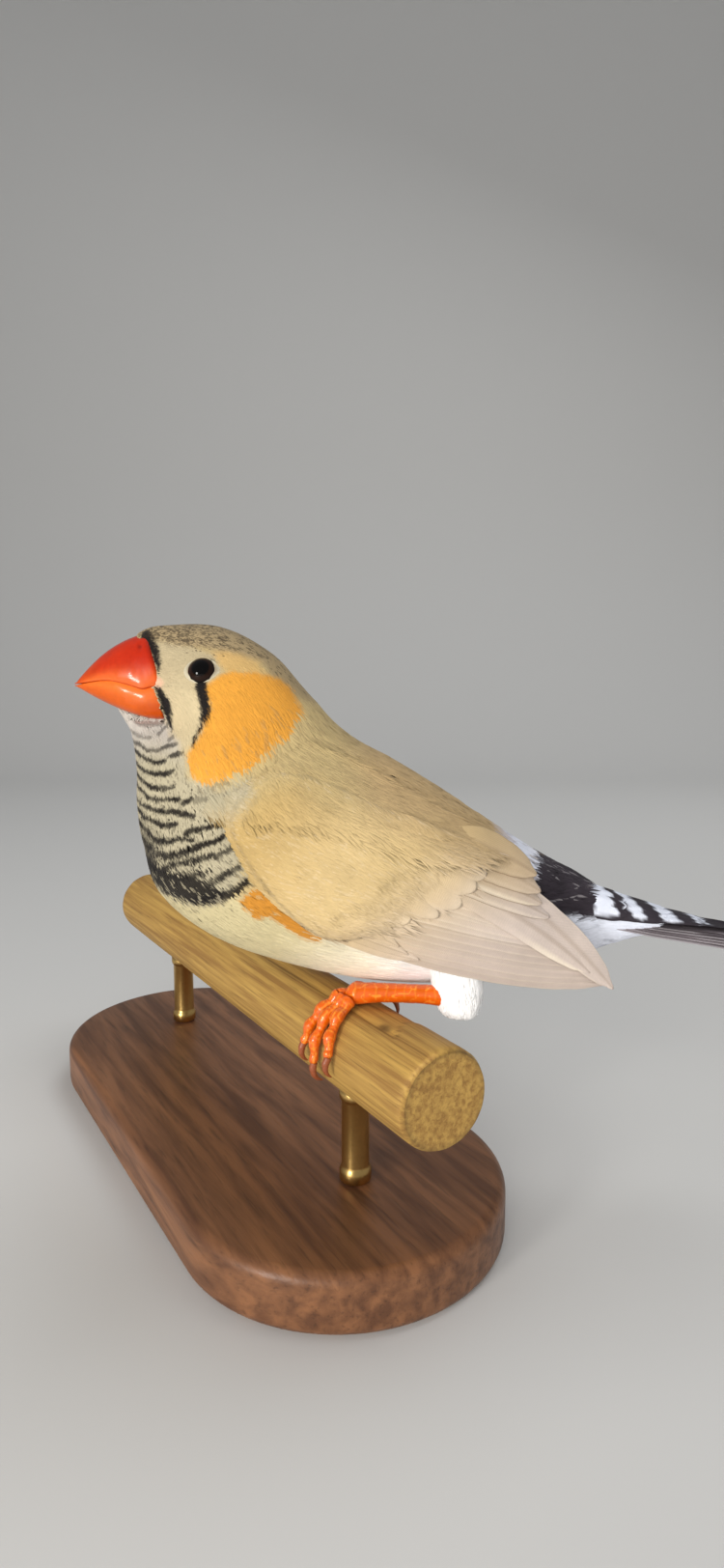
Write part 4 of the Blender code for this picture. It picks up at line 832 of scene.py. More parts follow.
def read_grid(table, a, c):
    """Blends a table between its nearest four places, and goes on straight past its rim."""
    rows, cols = WING_GRID
    u = (a - rows[0]) / (rows[1] - rows[0])
    v = (c - cols[0]) / (cols[1] - cols[0])
    i = np.clip(np.floor(u).astype(int), 0, len(rows) - 2)
    j = np.clip(np.floor(v).astype(int), 0, len(cols) - 2)
    f, g = (u - i)[..., None], (v - j)[..., None]
    near = table[i, j] * (1 - g) + table[i, j + 1] * g
    far = table[i + 1, j] * (1 - g) + table[i + 1, j + 1] * g
    return near * (1 - f) + far * f


def shell_outline(count):
    """The covered arm's outline as a smooth closed curve."""
    closed = np.array([*WING_SHELL, WING_SHELL[0]])
    return smooth(closed, np.linspace(0, len(WING_SHELL), count + 1)[:-1])


def shell_rise():
    """Height of the covered arm over the wing's inner face: a low dome inside its outline,
    joined smoothly to the stack of flight feathers behind it."""
    a, c = np.meshgrid(*WING_GRID, indexing="ij")
    outline = shell_outline(240)
    centre = outline.mean(0)
    bearing = np.arctan2(outline[:, 1] - centre[1], outline[:, 0] - centre[0])
    order = np.argsort(bearing)
    reach = np.hypot(*(outline - centre).T)[order]
    here = np.arctan2(c - centre[1], a - centre[0])
    limit = np.interp(here, bearing[order], reach, period=2 * np.pi)
    share = np.hypot(a - centre[0], c - centre[1]) / limit
    dome = np.interp(share, *SHELL_DOME)
    stack = np.interp(c, *FEATHER_STACK) * step(12.0, 22.0, a) * step(56.0, 42.0, a)
    both = (dome + stack + np.sqrt((dome - stack) ** 2 + 0.5)) / 2
    return both[..., None]


SHELL_RISE = shell_rise()


def cape_table():
    """One smooth surface over body and wing, and its normal, on the wing's grid: how far it
    stands off the middle plane is a smooth maximum of the body's half width and the wing's
    outer face, which fades past the wing's upper and front edges; then each place is averaged
    with its neighbours."""
    a, c = np.meshgrid(*WING_GRID, indexing="ij")
    x, z = WING_TABLE[..., 0], WING_TABLE[..., 2]
    body = body_half_width(x, z) - 0.45
    top = np.interp(a, *WING_HIGH)
    fade = 4.5 * step(top - 1.5, top + 4.5, c) + 5.0 * step(1.5, -1.5, a)
    edge = 1.9 * step(top - 5, top - 2, c) * step(-1.0, 3.0, a)
    rise = np.maximum(SHELL_RISE[..., 0] + 0.42, edge)
    wing = WING_TABLE[..., 1] + rise / np.maximum(WING_TABLE[..., 4], 0.5) - fade
    both = (wing + body + np.sqrt((wing - body) ** 2 + 0.3)) / 2
    for _ in range(25):
        padded = np.pad(both, 1, mode="edge")
        both = (padded[2:, 1:-1] + padded[:-2, 1:-1] + padded[1:-1, 2:] + padded[1:-1, :-2]) / 4
    point = np.stack([x, both, z], -1)
    normal = np.cross(np.gradient(point, axis=0), np.gradient(point, axis=1))
    normal *= np.sign(normal[..., 1:2])
    normal /= np.linalg.norm(normal, axis=-1, keepdims=True)
    return np.concatenate([point, normal], -1)


CAPE_TABLE = cape_table()


def wing_chart(side, ground=None, table=WING_TABLE):
    """Maps (distance along the wing, distance across it, height) to a point of one side.
    The height is over the table's surface, or over the ground given on the wing's grid."""

    def place(a, c, height):
        both = read_grid(table, a, c)
        normal = both[..., 3:]
        if ground is not None:
            height = height + read_grid(ground, a, c)[..., 0]
        point = both[..., :3] + normal * np.asarray(height)[..., None]
        return point * np.array([1, side, 1])

    return place


def in_wing(points):
    """True where the body lies well under a folded wing."""
    a, c = wing_place(points[..., 0], points[..., 2])
    low, high = np.interp(a, *WING_LOW) + 1.2, np.interp(a, *WING_HIGH) - 1.6
    return (a > 1.5) & (a < 42) & (c > low) & (c < high)


def in_bill(points):
    """True where the bill stands in place of feathers."""
    x, z = points[..., 0], points[..., 2]
    low = np.interp(x - BILL_TIP_X, BILL[:, 0], BILL[:, 3]) + 0.1
    ahead = x < bill_edge(z) - np.where(z > 13.4, 1.2, 0.45)
    return ahead & (z > low + np.where(x > -29.5, 0.3, 0.1))


def eye_gap(points):
    """Distance from the eye's middle in the side view, in shares of its opening."""
    return np.hypot(points[..., 0] - EYE_CENTRE[0], (points[..., 2] - EYE_CENTRE[1]) / 0.86)


# Finishes
def add_node(tree, kind, sockets=None, **settings):
    """A new shader node with its settings, and its sockets' values by name or place."""
    made = tree.nodes.new("ShaderNode" + kind)
    for key, value in settings.items():
        setattr(made, key, value)
    for key, value in (sockets or {}).items():
        made.inputs[key].default_value = value
    return made


def join(tree, *pairs):
    """Links each output to the input beside it."""
    for output, into in pairs:
        tree.links.new(output, into)


def new_material(name):
    """A material, its node tree and its Principled BSDF."""
    made = bpy.data.materials.new(name)
    made.use_nodes = True
    return made, made.node_tree, made.node_tree.nodes["Principled BSDF"]


def group_mottle():
    """A node group: soft noise and fine noise over Object coordinates, put out as a value
    round one, for colour, and as a height, for relief."""
    tree = bpy.data.node_groups.new("mottle", "ShaderNodeTree")
    for label, value in (("Size", 400.0), ("Fineness", 3000.0), ("Amount", 0.1)):
        made = tree.interface.new_socket(label, in_out="INPUT", socket_type="NodeSocketFloat")
        made.default_value = value
    for label in ("Tone", "Height"):
        tree.interface.new_socket(label, in_out="OUTPUT", socket_type="NodeSocketFloat")
    enter, leave = tree.nodes.new("NodeGroupInput"), tree.nodes.new("NodeGroupOutput")
    place = add_node(tree, "TexCoord").outputs["Object"]
    coarse = add_node(tree, "TexNoise", {"Detail": 3.0})
    fine = add_node(tree, "TexNoise", {"Detail": 3.0})
    both = add_node(tree, "Math", operation="ADD")
    centre = add_node(tree, "Math", {1: 1.0}, operation="SUBTRACT")
    scaled = add_node(tree, "Math", {2: 1.0}, operation="MULTIPLY_ADD")
    join(
        tree,
        (place, coarse.inputs["Vector"]),
        (place, fine.inputs["Vector"]),
        (enter.outputs["Size"], coarse.inputs["Scale"]),
        (enter.outputs["Fineness"], fine.inputs["Scale"]),
        (coarse.outputs["Fac"], both.inputs[0]),
        (fine.outputs["Fac"], both.inputs[1]),
        (both.outputs[0], centre.inputs[0]),
        (centre.outputs[0], scaled.inputs[0]),
        (enter.outputs["Amount"], scaled.inputs[1]),
        (scaled.outputs[0], leave.inputs["Tone"]),
        (fine.outputs["Fac"], leave.inputs["Height"]),
    )
    return tree


MOTTLE = group_mottle()


def tinted(name, roughness, size, fineness, amount, relief, **sockets):
    """A finish that takes its colour from the piece's own tint, mottled, with fine relief."""
    made, tree, shader = new_material(name)
    for key, value in sockets.items():
        shader.inputs[key.replace("_", " ")].default_value = value
    values = {"Size": size, "Fineness": fineness, "Amount": amount}
    mottle = add_node(tree, "Group", values, node_tree=MOTTLE)
    tint = add_node(tree, "Attribute", attribute_name="tint")
    scale = add_node(tree, "VectorMath", operation="SCALE")
    spread = add_node(tree, "MapRange", {"To Min": roughness[0], "To Max": roughness[1]})
    bump = add_node(tree, "Bump", {"Strength": relief[0], "Distance": relief[1] * MM})
    join(
        tree,
        (tint.outputs["Color"], scale.inputs[0]),
        (mottle.outputs["Tone"], scale.inputs["Scale"]),
        (scale.outputs[0], shader.inputs["Base Color"]),
        (mottle.outputs["Height"], spread.inputs["Value"]),
        (spread.outputs[0], shader.inputs["Roughness"]),
        (mottle.outputs["Height"], bump.inputs["Height"]),
        (bump.outputs[0], shader.inputs["Normal"]),
    )
    return made, tree, shader, bump, scale


def barbed_finish(name, roughness, amount, low, high, specular):
    """Vane finish: the tint crossed by fine slanting barbs, read off the piece's Barbs map,
    whose second place runs in millimetres along the barbs' own slant."""
    made, tree, shader, bump, scale = tinted(
        name, roughness, 500.0, 4000.0, amount, (0.25, 0.05), Specular_IOR_Level=specular
    )
    place = add_node(tree, "UVMap", uv_map="Barbs")
    values = {"Scale": 1.1, "Distortion": 1.2, "Detail": 2.0, "Detail Scale": 0.5}
    wave = add_node(tree, "TexWave", values, bands_direction="Y")
    tone = add_node(tree, "MapRange", {"To Min": low, "To Max": high})
    barred = add_node(tree, "VectorMath", operation="SCALE")
    join(
        tree,
        (place.outputs[0], wave.inputs["Vector"]),
        (wave.outputs["Fac"], tone.inputs["Value"]),
        (scale.outputs[0], barred.inputs[0]),
        (tone.outputs[0], barred.inputs["Scale"]),
        (barred.outputs[0], shader.inputs["Base Color"]),
        (wave.outputs["Fac"], bump.inputs["Height"]),
    )
    return made


DOWN = tinted("soft plumage", (0.7, 0.9), 350.0, 2600.0, 0.12, (0.15, 0.05),
              Specular_IOR_Level=0.2, Sheen_Weight=0.08, Sheen_Roughness=0.5)[0]
SKIN = tinted("skin under the plumage", (0.85, 0.95), 350.0, 2200.0, 0.2, (0.4, 0.1),
              Specular_IOR_Level=0.2)[0]
VANE = barbed_finish("feather vanes", (0.5, 0.7), 0.16, 0.93, 1.04, 0.35)
SOFT_VANE = barbed_finish("soft covert vanes", (0.7, 0.9), 0.14, 0.96, 1.02, 0.2)
HORN = tinted("bill horn", (0.3, 0.44), 260.0, 1500.0, 0.3, (0.25, 0.06),
              Coat_Weight=0.4, Coat_Roughness=0.14, Specular_IOR_Level=0.22)[0]
BARE = tinted("leg scales", (0.25, 0.4), 500.0, 2200.0, 0.2, (0.3, 0.05),
              Coat_Weight=0.4, Coat_Roughness=0.14)[0]
LID = tinted("bare lid skin", (0.55, 0.75), 900.0, 4200.0, 0.3, (0.5, 0.06))[0]
EYE = tinted("eye", (0.03, 0.05), 500.0, 2500.0, 0.3, (0.0, 0.01),
             Coat_Weight=0.1, Coat_Roughness=0.02, Specular_IOR_Level=0.12)[0]
CLAW = tinted("claw horn", (0.3, 0.45), 700.0, 3000.0, 0.3, (0.2, 0.03))[0]


def grained(name, dark, light, roughness, stretch):
    """Wood: noise drawn out along the grain, in Object coordinates turned to the perch,
    drives the colour between two tones, with pores as a finer, sharper noise."""
    made, tree, shader = new_material(name)
    place = add_node(tree, "TexCoord")
    mapping = add_node(tree, "Mapping", {"Rotation": (0, 0, PERCH_TURN)}, vector_type="TEXTURE")
    squeeze = add_node(tree, "Mapping", {"Scale": stretch})
    grain = add_node(tree, "TexNoise", {"Scale": 1.0, "Detail": 6.0, "Distortion": 0.4})
    pores = add_node(tree, "TexNoise", {"Scale": 4.0, "Detail": 2.0})
    ramp = add_node(tree, "ValToRGB")
    for stop, share, tone in zip(ramp.color_ramp.elements, (0.35, 0.65), (dark, light)):
        stop.position = share
        stop.color = (*TONES[tone], 1)
    spots = add_node(
        tree, "MapRange", {"From Min": 0.3, "From Max": 0.42, "To Min": 0.72, "To Max": 1.0}
    )
    scale = add_node(tree, "VectorMath", operation="SCALE")
    spread = add_node(tree, "MapRange", {"To Min": roughness[1], "To Max": roughness[0]})
    bump = add_node(tree, "Bump", {"Strength": 0.35, "Distance": 0.15 * MM})
    join(
        tree,
        (place.outputs["Object"], mapping.inputs["Vector"]),
        (mapping.outputs[0], squeeze.inputs["Vector"]),
        (squeeze.outputs[0], grain.inputs["Vector"]),
        (squeeze.outputs[0], pores.inputs["Vector"]),
        (grain.outputs["Fac"], ramp.inputs["Fac"]),
        (pores.outputs["Fac"], spots.inputs["Value"]),
        (ramp.outputs["Color"], scale.inputs[0]),
        (spots.outputs[0], scale.inputs["Scale"]),
        (scale.outputs[0], shader.inputs["Base Color"]),
        (grain.outputs["Fac"], spread.inputs["Value"]),
        (spread.outputs[0], shader.inputs["Roughness"]),
        (pores.outputs["Fac"], bump.inputs["Height"]),
        (bump.outputs[0], shader.inputs["Normal"]),
    )
    return made, tree, shader, scale


# The skin and the coat of barbs on it
def make_skin():
    """The skin: the body's surface sunk by the coat's depth, and a short sleeve on each
    thigh, with the coat's own markings; on the body these are painted a little lighter, as
    painted light that lifts the shade seen between the barbs."""
    s, turn = np.broadcast_arrays(np.linspace(0, TAIL_END, 250)[:, None], ring(160)[None])
    points, quads, caps = loft(body_chart(s, turn, np.zeros(s.shape)))
    home = stacked(turn / (2 * np.pi), s / TAIL_END).reshape(-1, 2)
    homes = [np.concatenate([home, [[0.5, 0.0], [0.5, 1.0]]]) * 0.9]
    # painted light: the body's skin is a little lighter than the markings, so the shade in the gaps
    # between barbs looks less dark
    parts = [(points, quads, caps, np.clip(body_tint(points, 0.0) * 1.05, 0, 1))]
    for side, foot in enumerate(FEET.values()):
        t, turn = np.meshgrid(np.linspace(0, 1, 24), ring(39), indexing="ij")
        points, quads, caps = loft(thigh_chart(foot)(t, turn, np.zeros(t.shape)), flip=True)
        parts.append((points, quads, caps, TONES["white"] * 0.96))
        strip = stacked(turn / 63 + 0.9, t / 3 + 0.1 + side / 2).reshape(-1, 2)
        ends = [[0.95, 0.1 + side / 2], [0.95, 0.43 + side / 2]]
        homes.append(np.concatenate([strip, ends]))
    points, faces, tint = merge(parts)
    made = put("finch_skin", points, faces, SKIN, tint=tint,
               maps={"OFBake": np.concatenate(homes)})
    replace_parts(made, "head", "neck", "torso", "thigh_left", "thigh_right")


def thigh_chart(foot):
    """The thigh's sleeve: t from its lower end upwards, and the angle round it."""
    x, y, low, high = foot["thigh"]

    def place(t, turn, lift):
        t, turn, lift = np.broadcast_arrays(t, turn, lift)
        z = low + 0.5 + (high - low) * (1 - np.cos(np.pi * np.clip(t, -0.2, 1.2) / 2))
        radius = 3.5 * np.sqrt(np.clip(np.sin(np.pi * (0.06 + 0.57 * t)), 0.05, 1)) - 0.55 + lift
        across = np.array([x, y, 0.0]) * np.stack([np.ones_like(t), 1 - 0.08 * t, t * 0], -1)
        point = np.stack([-0.8 * t + radius * np.cos(turn), 0.8 * radius * np.sin(turn), z], -1)
        return across + point

    return place


def barbs(name, chart, root, size, wide, depth, lie, rng, paint, flat, places=3,
          tone=0.045, bend=0.1, crisp=False, flecks=None):
    """A coat of single barbs. Each bends a little, is widest past its middle, rises from the
    skin and settles again at its tip. It takes one colour, that of the place where it shows,
    or, where the markings are crisp, their colour at each place along it. Flecks, given as
    how strong each barb's is and a tone, darken its middle."""
    count = len(root)
    t = np.linspace(0, 1, places)
    along = size[:, None] * t
    aside = (bend * rng.standard_normal(count) * size)[:, None] * t**2
    half = wide[:, None] / 2 * np.interp(t, (0, 0.35, 0.7, 1), (0.75, 1.0, 0.9, 0.3))
    lift = depth[:, None] * np.interp(t, (0, 0.35, 0.7, 1), (0.82, 0.96, 1.0, 0.95))
    points, faces, share, normals = strands(chart, root, lie, along, aside, half, lift)
    ragged = rng.standard_normal(count)
    if crisp:
        tint = paint(points, ragged[:, None])
    else:
        shown = 0.45 * points[:, 3 * (places - 2) + 1] + 0.55 * points[:, -1]
        tint = paint(shown, ragged)[:, None]
    tint = tint * (1 + tone * rng.standard_normal(count))[:, None, None]
    # painted shade: each barb is darker at its root, where the barbs over it shade it, and lighter
    # towards its tip
    tint = tint * (0.94 + 0.08 * share)[None, :, None]
    if flecks is not None:
        dash = np.interp(share, (0, 0.4, 0.8, 1), (0.0, 0.9, 1.0, 0.45))
        tint = over(tint, flecks[1], flecks[0][:, None] * dash[None])
    home = home_patch(flat, along, aside, size, places)
    return coat(name, points, faces, normals, np.clip(tint, 0, 1), home, DOWN)


def skin_home(root):
    """Where a root lies on the skin's unwrap: round the body, then along it."""
    return np.stack([root[:, 1] / (2 * np.pi), root[:, 0] / TAIL_END], -1) * 0.9


def wing_home(root):
    """Where a root lies on the wing's unwrap: along the wing, then across it."""
    return (root + np.array([4.0, 13.0])) / 62


def body_roots(s_range, count, weight, rng):
    """Roots over the body, and their places on the skin."""
    root = scatter(body_chart, s_range, (0, 2 * np.pi), count, weight, rng)
    return root, body_chart(root[:, 0], root[:, 1], np.zeros(count))


def in_throat(at):
    """How deep a place lies in the barred throat and the breast's black band."""
    x, z = at[..., 0], at[..., 2]
    return np.maximum(outline_depth(THROAT, x, z), outline_depth(BREAST, x, z))


def in_cheek(at):
    """How deep a place lies in the cheek patch."""
    return outline_depth(CHEEK, at[..., 0], at[..., 2])


def make_throat_coat(rng):
    """Very short fine barbs over the throat, whose stripes are painted along each barb."""
    def weight(s, turn, at):
        keep = ~in_bill(at) & ~in_wing(at)
        return keep * step(-0.7, -0.1, in_throat(at)) * (1 + 0.5 * step(-3, 5, at[..., 2]))

    count = BARB_COUNTS["throat"]
    root, at = body_roots((0.1, 9.2), count, weight, rng)
    low = step(-3, -11, at[:, 2])
    size = (0.85 + 0.7 * low) * (0.8 + 0.4 * rng.random(count))
    wide = 0.21 + 0.05 * rng.random(count) + 0.03 * low
    depth = coat_depth(root[:, 0]) * (0.92 + 0.14 * rng.random(count))
    depth = depth * (1 + 0.06 * cloud(at, 2.5, 8.0))
    lie = 0.06 * rng.standard_normal(count) + 0.1 * cloud(at, 3.0, 1.0)
    inside = outline_depth(BREAST, at[:, 0], at[:, 2]) > 0.1
    hair = rng.random(count)
    dark = 0.45 * (hair < 0.12) * step(7.5, 2.0, at[:, 2])
    flecks = np.where(inside, 0.55 * (hair < 0.2), dark)
    tone = np.where(inside[:, None], TONES["throat"], TONES["bar"])[:, None]

    def paint(points, ragged):
        return body_tint(points, ragged * (1 + 5 * step(-5.0, -9.0, points[..., 2])))

    barbs("throat_coat", body_chart, root, size, wide, depth, lie, rng, paint, skin_home(root),
          places=4, tone=0.03, bend=0.08, crisp=True, flecks=(flecks, tone))


def make_head_coat(rng):
    """Short fine barbs over the head, smallest round the bill and eyes, with dark flecks on
    the crown and longer, smoother ones on the cheek."""
    def weight(s, turn, at):
        keep = ~in_bill(at) & (eye_gap(at) > 1.75) & (in_throat(at) < 0.25)
        near = 1 + 1.5 * step(4.5, 1.2, eye_gap(at)) + 0.9 * step(3.2, 1.0, s)
        above = 1 + 0.5 * step(16.0, 18.5, at[..., 2])
        return keep * near * above * step(5.4, 4.8, s)

    count = BARB_COUNTS["head"]
    root, at = body_roots((0.1, 5.4), count, weight, rng)
    s = root[:, 0]
    small = 0.5 + 0.5 * step(1.6, 5.0, eye_gap(at)) * step(0.3, 3.4, s)
    above = step(16.0, 18.5, at[:, 2])
    size = (1.1 + 0.8 * step(1.0, 5.0, s)) * (0.8 + 0.4 * rng.random(count))
    size = size * (small + 0.15 * above)
    wide = (0.2 + 0.07 * rng.random(count)) * (0.7 + 0.3 * small) * (1 - 0.22 * above)
    depth = coat_depth(s) * (0.95 + 0.1 * rng.random(count)) * (1 + 0.06 * cloud(at, 2.5, 8.0))
    lie = 0.06 * rng.standard_normal(count) + 0.12 * cloud(at, 3.0, 1.0)
    seen = body_chart(s + 0.15, root[:, 1], np.zeros(count))
    x, z = seen[:, 0], seen[:, 2]
    crown = paint_body(seen, 0.0)[1]
    often = 0.36 * step(-15, -23, x) + 0.16 * step(-6, -15, x) + 0.04
    near_eye = step(0.9, 0.3, np.abs(eye_gap(seen) - 2.7)) * step(15.8, 17.0, z)
    nape = 0.25 * step(-14.0, -9.0, x) * step(0.0, -0.8, in_cheek(seen))
    flecks = 0.9 * crown * (rng.random(count) < often)
    flecks = flecks + 0.16 * (1 - crown) * (rng.random(count) < nape)
    flecks = np.maximum(flecks, 0.8 * (rng.random(count) < 0.1 * near_eye))
    silk = step(-0.3, 0.6, in_cheek(at))
    size, wide = size * (1 + 0.5 * silk), wide * (1 + 0.15 * silk)
    barbs("head_coat", body_chart, root, size, wide, depth, lie, rng, body_tint,
          skin_home(root), crisp=True, flecks=(flecks, TONES["fleck"]))


def body_barbs(part, s_range, weight, size, wide, rng, places=3, spread=0.07, dashes=0.0):
    """Barbs over one part of the body, with dark dashes and, at the rear, pale hairs; size
    is a function of the place."""
    count = BARB_COUNTS[part]
    root, at = body_roots(s_range, count, weight, rng)
    long = size(at) * (0.8 + 0.4 * rng.random(count))
    broad = wide * (0.8 + 0.4 * rng.random(count))
    clump = 1 + 0.08 * cloud(at, 1.6, 8.0) + 0.06 * cloud(at, 4.0, 6.0)
    depth = coat_depth(root[:, 0]) * (0.92 + 0.14 * rng.random(count)) * clump
    lie = spread * rng.standard_normal(count) + 0.12 * cloud(at, 3.0, 1.0)
    flecks = dashes * (rng.random(count) < 0.3) * step(19.0, 15.0, at[:, 0])
    pale = dashes * (rng.random(count) < 0.07) * step(22.5, 23.5, at[:, 0]) * (at[:, 2] > -17)
    tone = np.where(pale[:, None] > 0, TONES["tail_edge"], TONES["dash"])[:, None]
    barbs(part + "_coat", body_chart, root, long, broad, depth, lie, rng, body_tint,
          skin_home(root), places, flecks=(np.maximum(flecks, 1.2 * pale), tone))


def make_body_coat(rng):
    """The breast, belly and back, each with barbs of its own length."""
    def bare(at):
        return ~in_wing(at) & (in_throat(at) < 0.25)

    def front(s, turn, at):
        lower = step(-0.25, 0.3, -np.sin(turn) + 0.25)
        return bare(at) * step(4.6, 5.2, s) * lower * step(9.0, 8.4, s)

    def under(s, turn, at):
        return bare(at) * step(7.7, 8.6, s) * step(-0.2, 0.25, -np.sin(turn) + 0.1)

    def over_back(s, turn, at):
        return bare(at) * step(4.5, 5.1, s) * step(-0.35, 0.1, np.sin(turn))

    body_barbs("breast", (4.6, 9.0), front, lambda at: 1.3 + 0.8 * step(-12, -18, at[:, 2]),
               0.32, rng)
    body_barbs("belly", (7.7, 12.0), under, lambda at: 3.4, 0.44, rng,
               places=4, spread=0.05)
    body_barbs("back", (4.5, 12.0), over_back, lambda at: 2.2 + 0.02 * (at[:, 0] + 10), 0.34,
               rng, places=4, dashes=0.34)


def make_cape(side, rng):
    """Barbs of the mantle and neck that lie over the folded wing's upper and front edges, on a
    surface drawn smoothly over the body and the wing together."""
    def weight(a, c, at):
        edge = np.interp(a, *CAPE_EDGE)
        high = np.interp(a, (10, 25, 34), (12.4, 11.2, 9.8))
        clear = (in_cheek(at) < -1.2) * (np.abs(at[..., 1]) > 4.2)
        ahead = step(31.5, 28, a - 1.0 * (c - 9))
        return clear * step(edge - 2.0, edge + 1.2, c) * step(high + 0.5, high - 0.5, c) * ahead

    chart = wing_chart(side, None, CAPE_TABLE)
    count = BARB_COUNTS["cape"]
    root = scatter(chart, (-3.6, 35.0), (-0.5, 12.8), count, weight, rng)
    a, c = root.T
    at = chart(a, c, np.zeros(count))
    size = (1.8 + 0.04 * a) * (0.8 + 0.5 * rng.random(count))
    wide = 0.23 + 0.08 * rng.random(count)
    depth = 0.34 + 0.12 * rng.random(count) + 0.06 * cloud(at, 1.8, 4.0)
    lie = np.interp(a, (-4, 2, 10, 26), (-0.45, -0.3, -0.12, -0.06))
    lie = lie + 0.08 * rng.standard_normal(count)
    edge = np.interp(a, (-4, 1, 9, 22), (-2.0, 1.6, 5.2, 7.2))
    depth = depth - 0.2 * step(edge + 0.5, edge - 1.8, c) * step(26, 20, a)
    depth = depth + 0.4 * step(23.0, 28.0, a)
    flecks = 0.34 * (rng.random(count) < 0.3) * step(4.5, 9.0, c)
    barbs("mantle_cape_" + SIDES[side], chart, root, size, wide, depth, lie, rng,
          paint_shoulder, wing_home(root), flecks=(flecks, TONES["dash"]))


def make_thigh_tufts(rng):
    """White down on each thigh, hanging down and back over the leg's top."""
    count = BARB_COUNTS["thigh"]
    for label, foot in FEET.items():
        chart = thigh_chart(foot)
        root = scatter(chart, (0.0, 1.0), (0, 2 * np.pi), count, lambda p, q, at: 1, rng)
        length = 2.4 + 1.2 * rng.random(count)
        t = np.array([0.0, 0.5, 1.0])
        along = length[:, None] * t
        aside = (0.15 * rng.standard_normal(count) * length)[:, None] * t**2
        half = (0.13 + 0.07 * rng.random(count))[:, None] * np.array([0.8, 1.0, 0.25])
        lift = (0.3 + 0.2 * rng.random(count))[:, None] * np.array([0.85, 0.97, 1.0])
        lie = np.pi + 0.2 * rng.standard_normal(count)
        points, faces, share, normals = strands(chart, root, lie, along, aside, half, lift)
        low = foot["thigh"][2] - 0.9
        points[..., 2] = np.maximum(points[..., 2], low + 0.3 * rng.random((count, 1)))
        # painted shade: the down is darker at its roots, where the tufts over it shade it, and
        # lighter to its tips
        tint = plain("white", points.shape[:2]) * (0.96 + 0.06 * share)[None, :, None]
        tint = tint * (1 + 0.05 * rng.standard_normal(count))[:, None, None]
        down = root[:, 0] / 3 + 0.1 + (foot["side"] + 1) / 4
        home = home_patch(stacked(root[:, 1] / 63 + 0.9, down), along, aside, length, 3)
        coat("thigh_down_" + label, points, faces, normals, np.clip(tint, 0, 1), home, DOWN)


# Vanes: feathers that show one by one
FINE_VANE = (-1.0, -0.95, -0.82, -0.55, -0.2, -0.06, 0.06, 0.25, 0.58, 0.84, 0.95, 1.0)
SOFT_COVERT = (-1.0, -0.88, -0.6, -0.2, 0.2, 0.6, 0.88, 1.0)
COVERT_SHAPE = dict(steps=12, blunt=0.4, thick=0.03, columns=SOFT_COVERT, cup=0.16, close_at=0.35)


def vane_faces(rows, cols):
    """Faces of a thin sheet: its top, its underside and the rim between them."""
    total = rows * cols
    top = grid_faces(rows, cols, close=False)
    rim = np.concatenate([
        np.arange(cols), np.arange(1, rows) * cols + cols - 1,
        (rows - 1) * cols + np.arange(cols - 2, -1, -1), np.arange(rows - 2, 0, -1) * cols,
    ])
    nxt = np.roll(rim, -1)
    wall = np.stack([nxt, rim, rim + total, nxt + total], -1)
    return np.concatenate([top, top[:, ::-1] + total, wall])


def blade(chart, root, tip, half_width, depth, bow, tilt, colour, cell, steps=22, blunt=0.35,
          thick=0.16, columns=FINE_VANE, cup=0.12, close_at=0.62, sunk=0.0):
    """One feather as a thin closed vane with a raised shaft. Its outline opens from the root
    and closes round the tip, its vane sinks towards both edges by cup and its root by sunk.
    The Barbs map slants back from the shaft, and OFBake is the vane laid flat in its own cell."""
    root, tip = np.asarray(root, float), np.asarray(tip, float)
    t = 1 - (1 - np.linspace(0, 1, steps + 1)[:, None]) ** 1.5
    u = np.array(columns)[None]
    chord = tip - root
    length = np.linalg.norm(chord)
    square = np.array([-chord[1], chord[0]]) / length
    shaft = root + chord * t + square * (4 * bow * t * (1 - t))
    along = np.gradient(shaft, axis=0)
    along /= np.linalg.norm(along, axis=1, keepdims=True)
    across = np.stack([-along[:, 1], along[:, 0]], -1)
    opening = step(-0.1, 0.5, t) if sunk > 0 else 0.5 + 0.5 * step(0, 0.35, t)
    closing = np.clip((t - close_at) / (1 - close_at), 0, 1) ** 2.6
    reach = half_width * opening * (1 - (1 - blunt) * closing)
    fray = cloud(stacked(t * length * 2, 3.0 * np.sign(u), root[0]), 1.0)
    reach = reach * (1 + 0.03 * fray * (np.abs(u) > 0.86))
    side = u * reach
    rounded = 0.35 * half_width * (np.abs(u) ** 2.2) * step(0.9, 1.0, t)
    spot = shaft[:, None] + across[:, None] * side[..., None] - along[:, None] * rounded[..., None]
    ridge = 0.1 * (np.abs(u) < 0.1) * (1.1 - t)
    height = depth[0] + (depth[1] - depth[0]) * t + tilt * (1 - u) / 2 - cup * u**2 + ridge
    height = height - 0.1 * step(0.8, 1.0, t) - sunk * step(0.45, 0.0, t)
    thin = thick * (1 - 0.75 * np.abs(u) ** 3) * (1 - 0.5 * t) + 0.02
    a, c = spot[..., 0], spot[..., 1]
    high = chart(a, c, height + thin)
    low = chart(a, c, height)
    rows, cols = high.shape[:2]
    quads = vane_faces(rows, cols)
    row, col = rows // 2, cols // 2
    p, q, r = high[row, col], high[row, col + 1], high[row + 1, col]
    if np.dot(np.cross(q - p, r - p), p - low[row, col]) < 0:
        quads = quads[:, ::-1]
    tint = colour(*np.broadcast_arrays(t, u), high).reshape(-1, 3)
    barb_map = stacked(side, t * length - 1.3 * np.abs(side)).reshape(-1, 2)
    flat = stacked(0.5 + 0.47 * u, t).reshape(-1, 2) * np.array(cell[2:]) + np.array(cell[:2])
    return (np.concatenate([high.reshape(-1, 3), low.reshape(-1, 3)]), quads,
            np.concatenate([tint, tint * UNDERSIDE_TONE]), np.tile(barb_map, (2, 1)),
            np.tile(flat, (2, 1)))


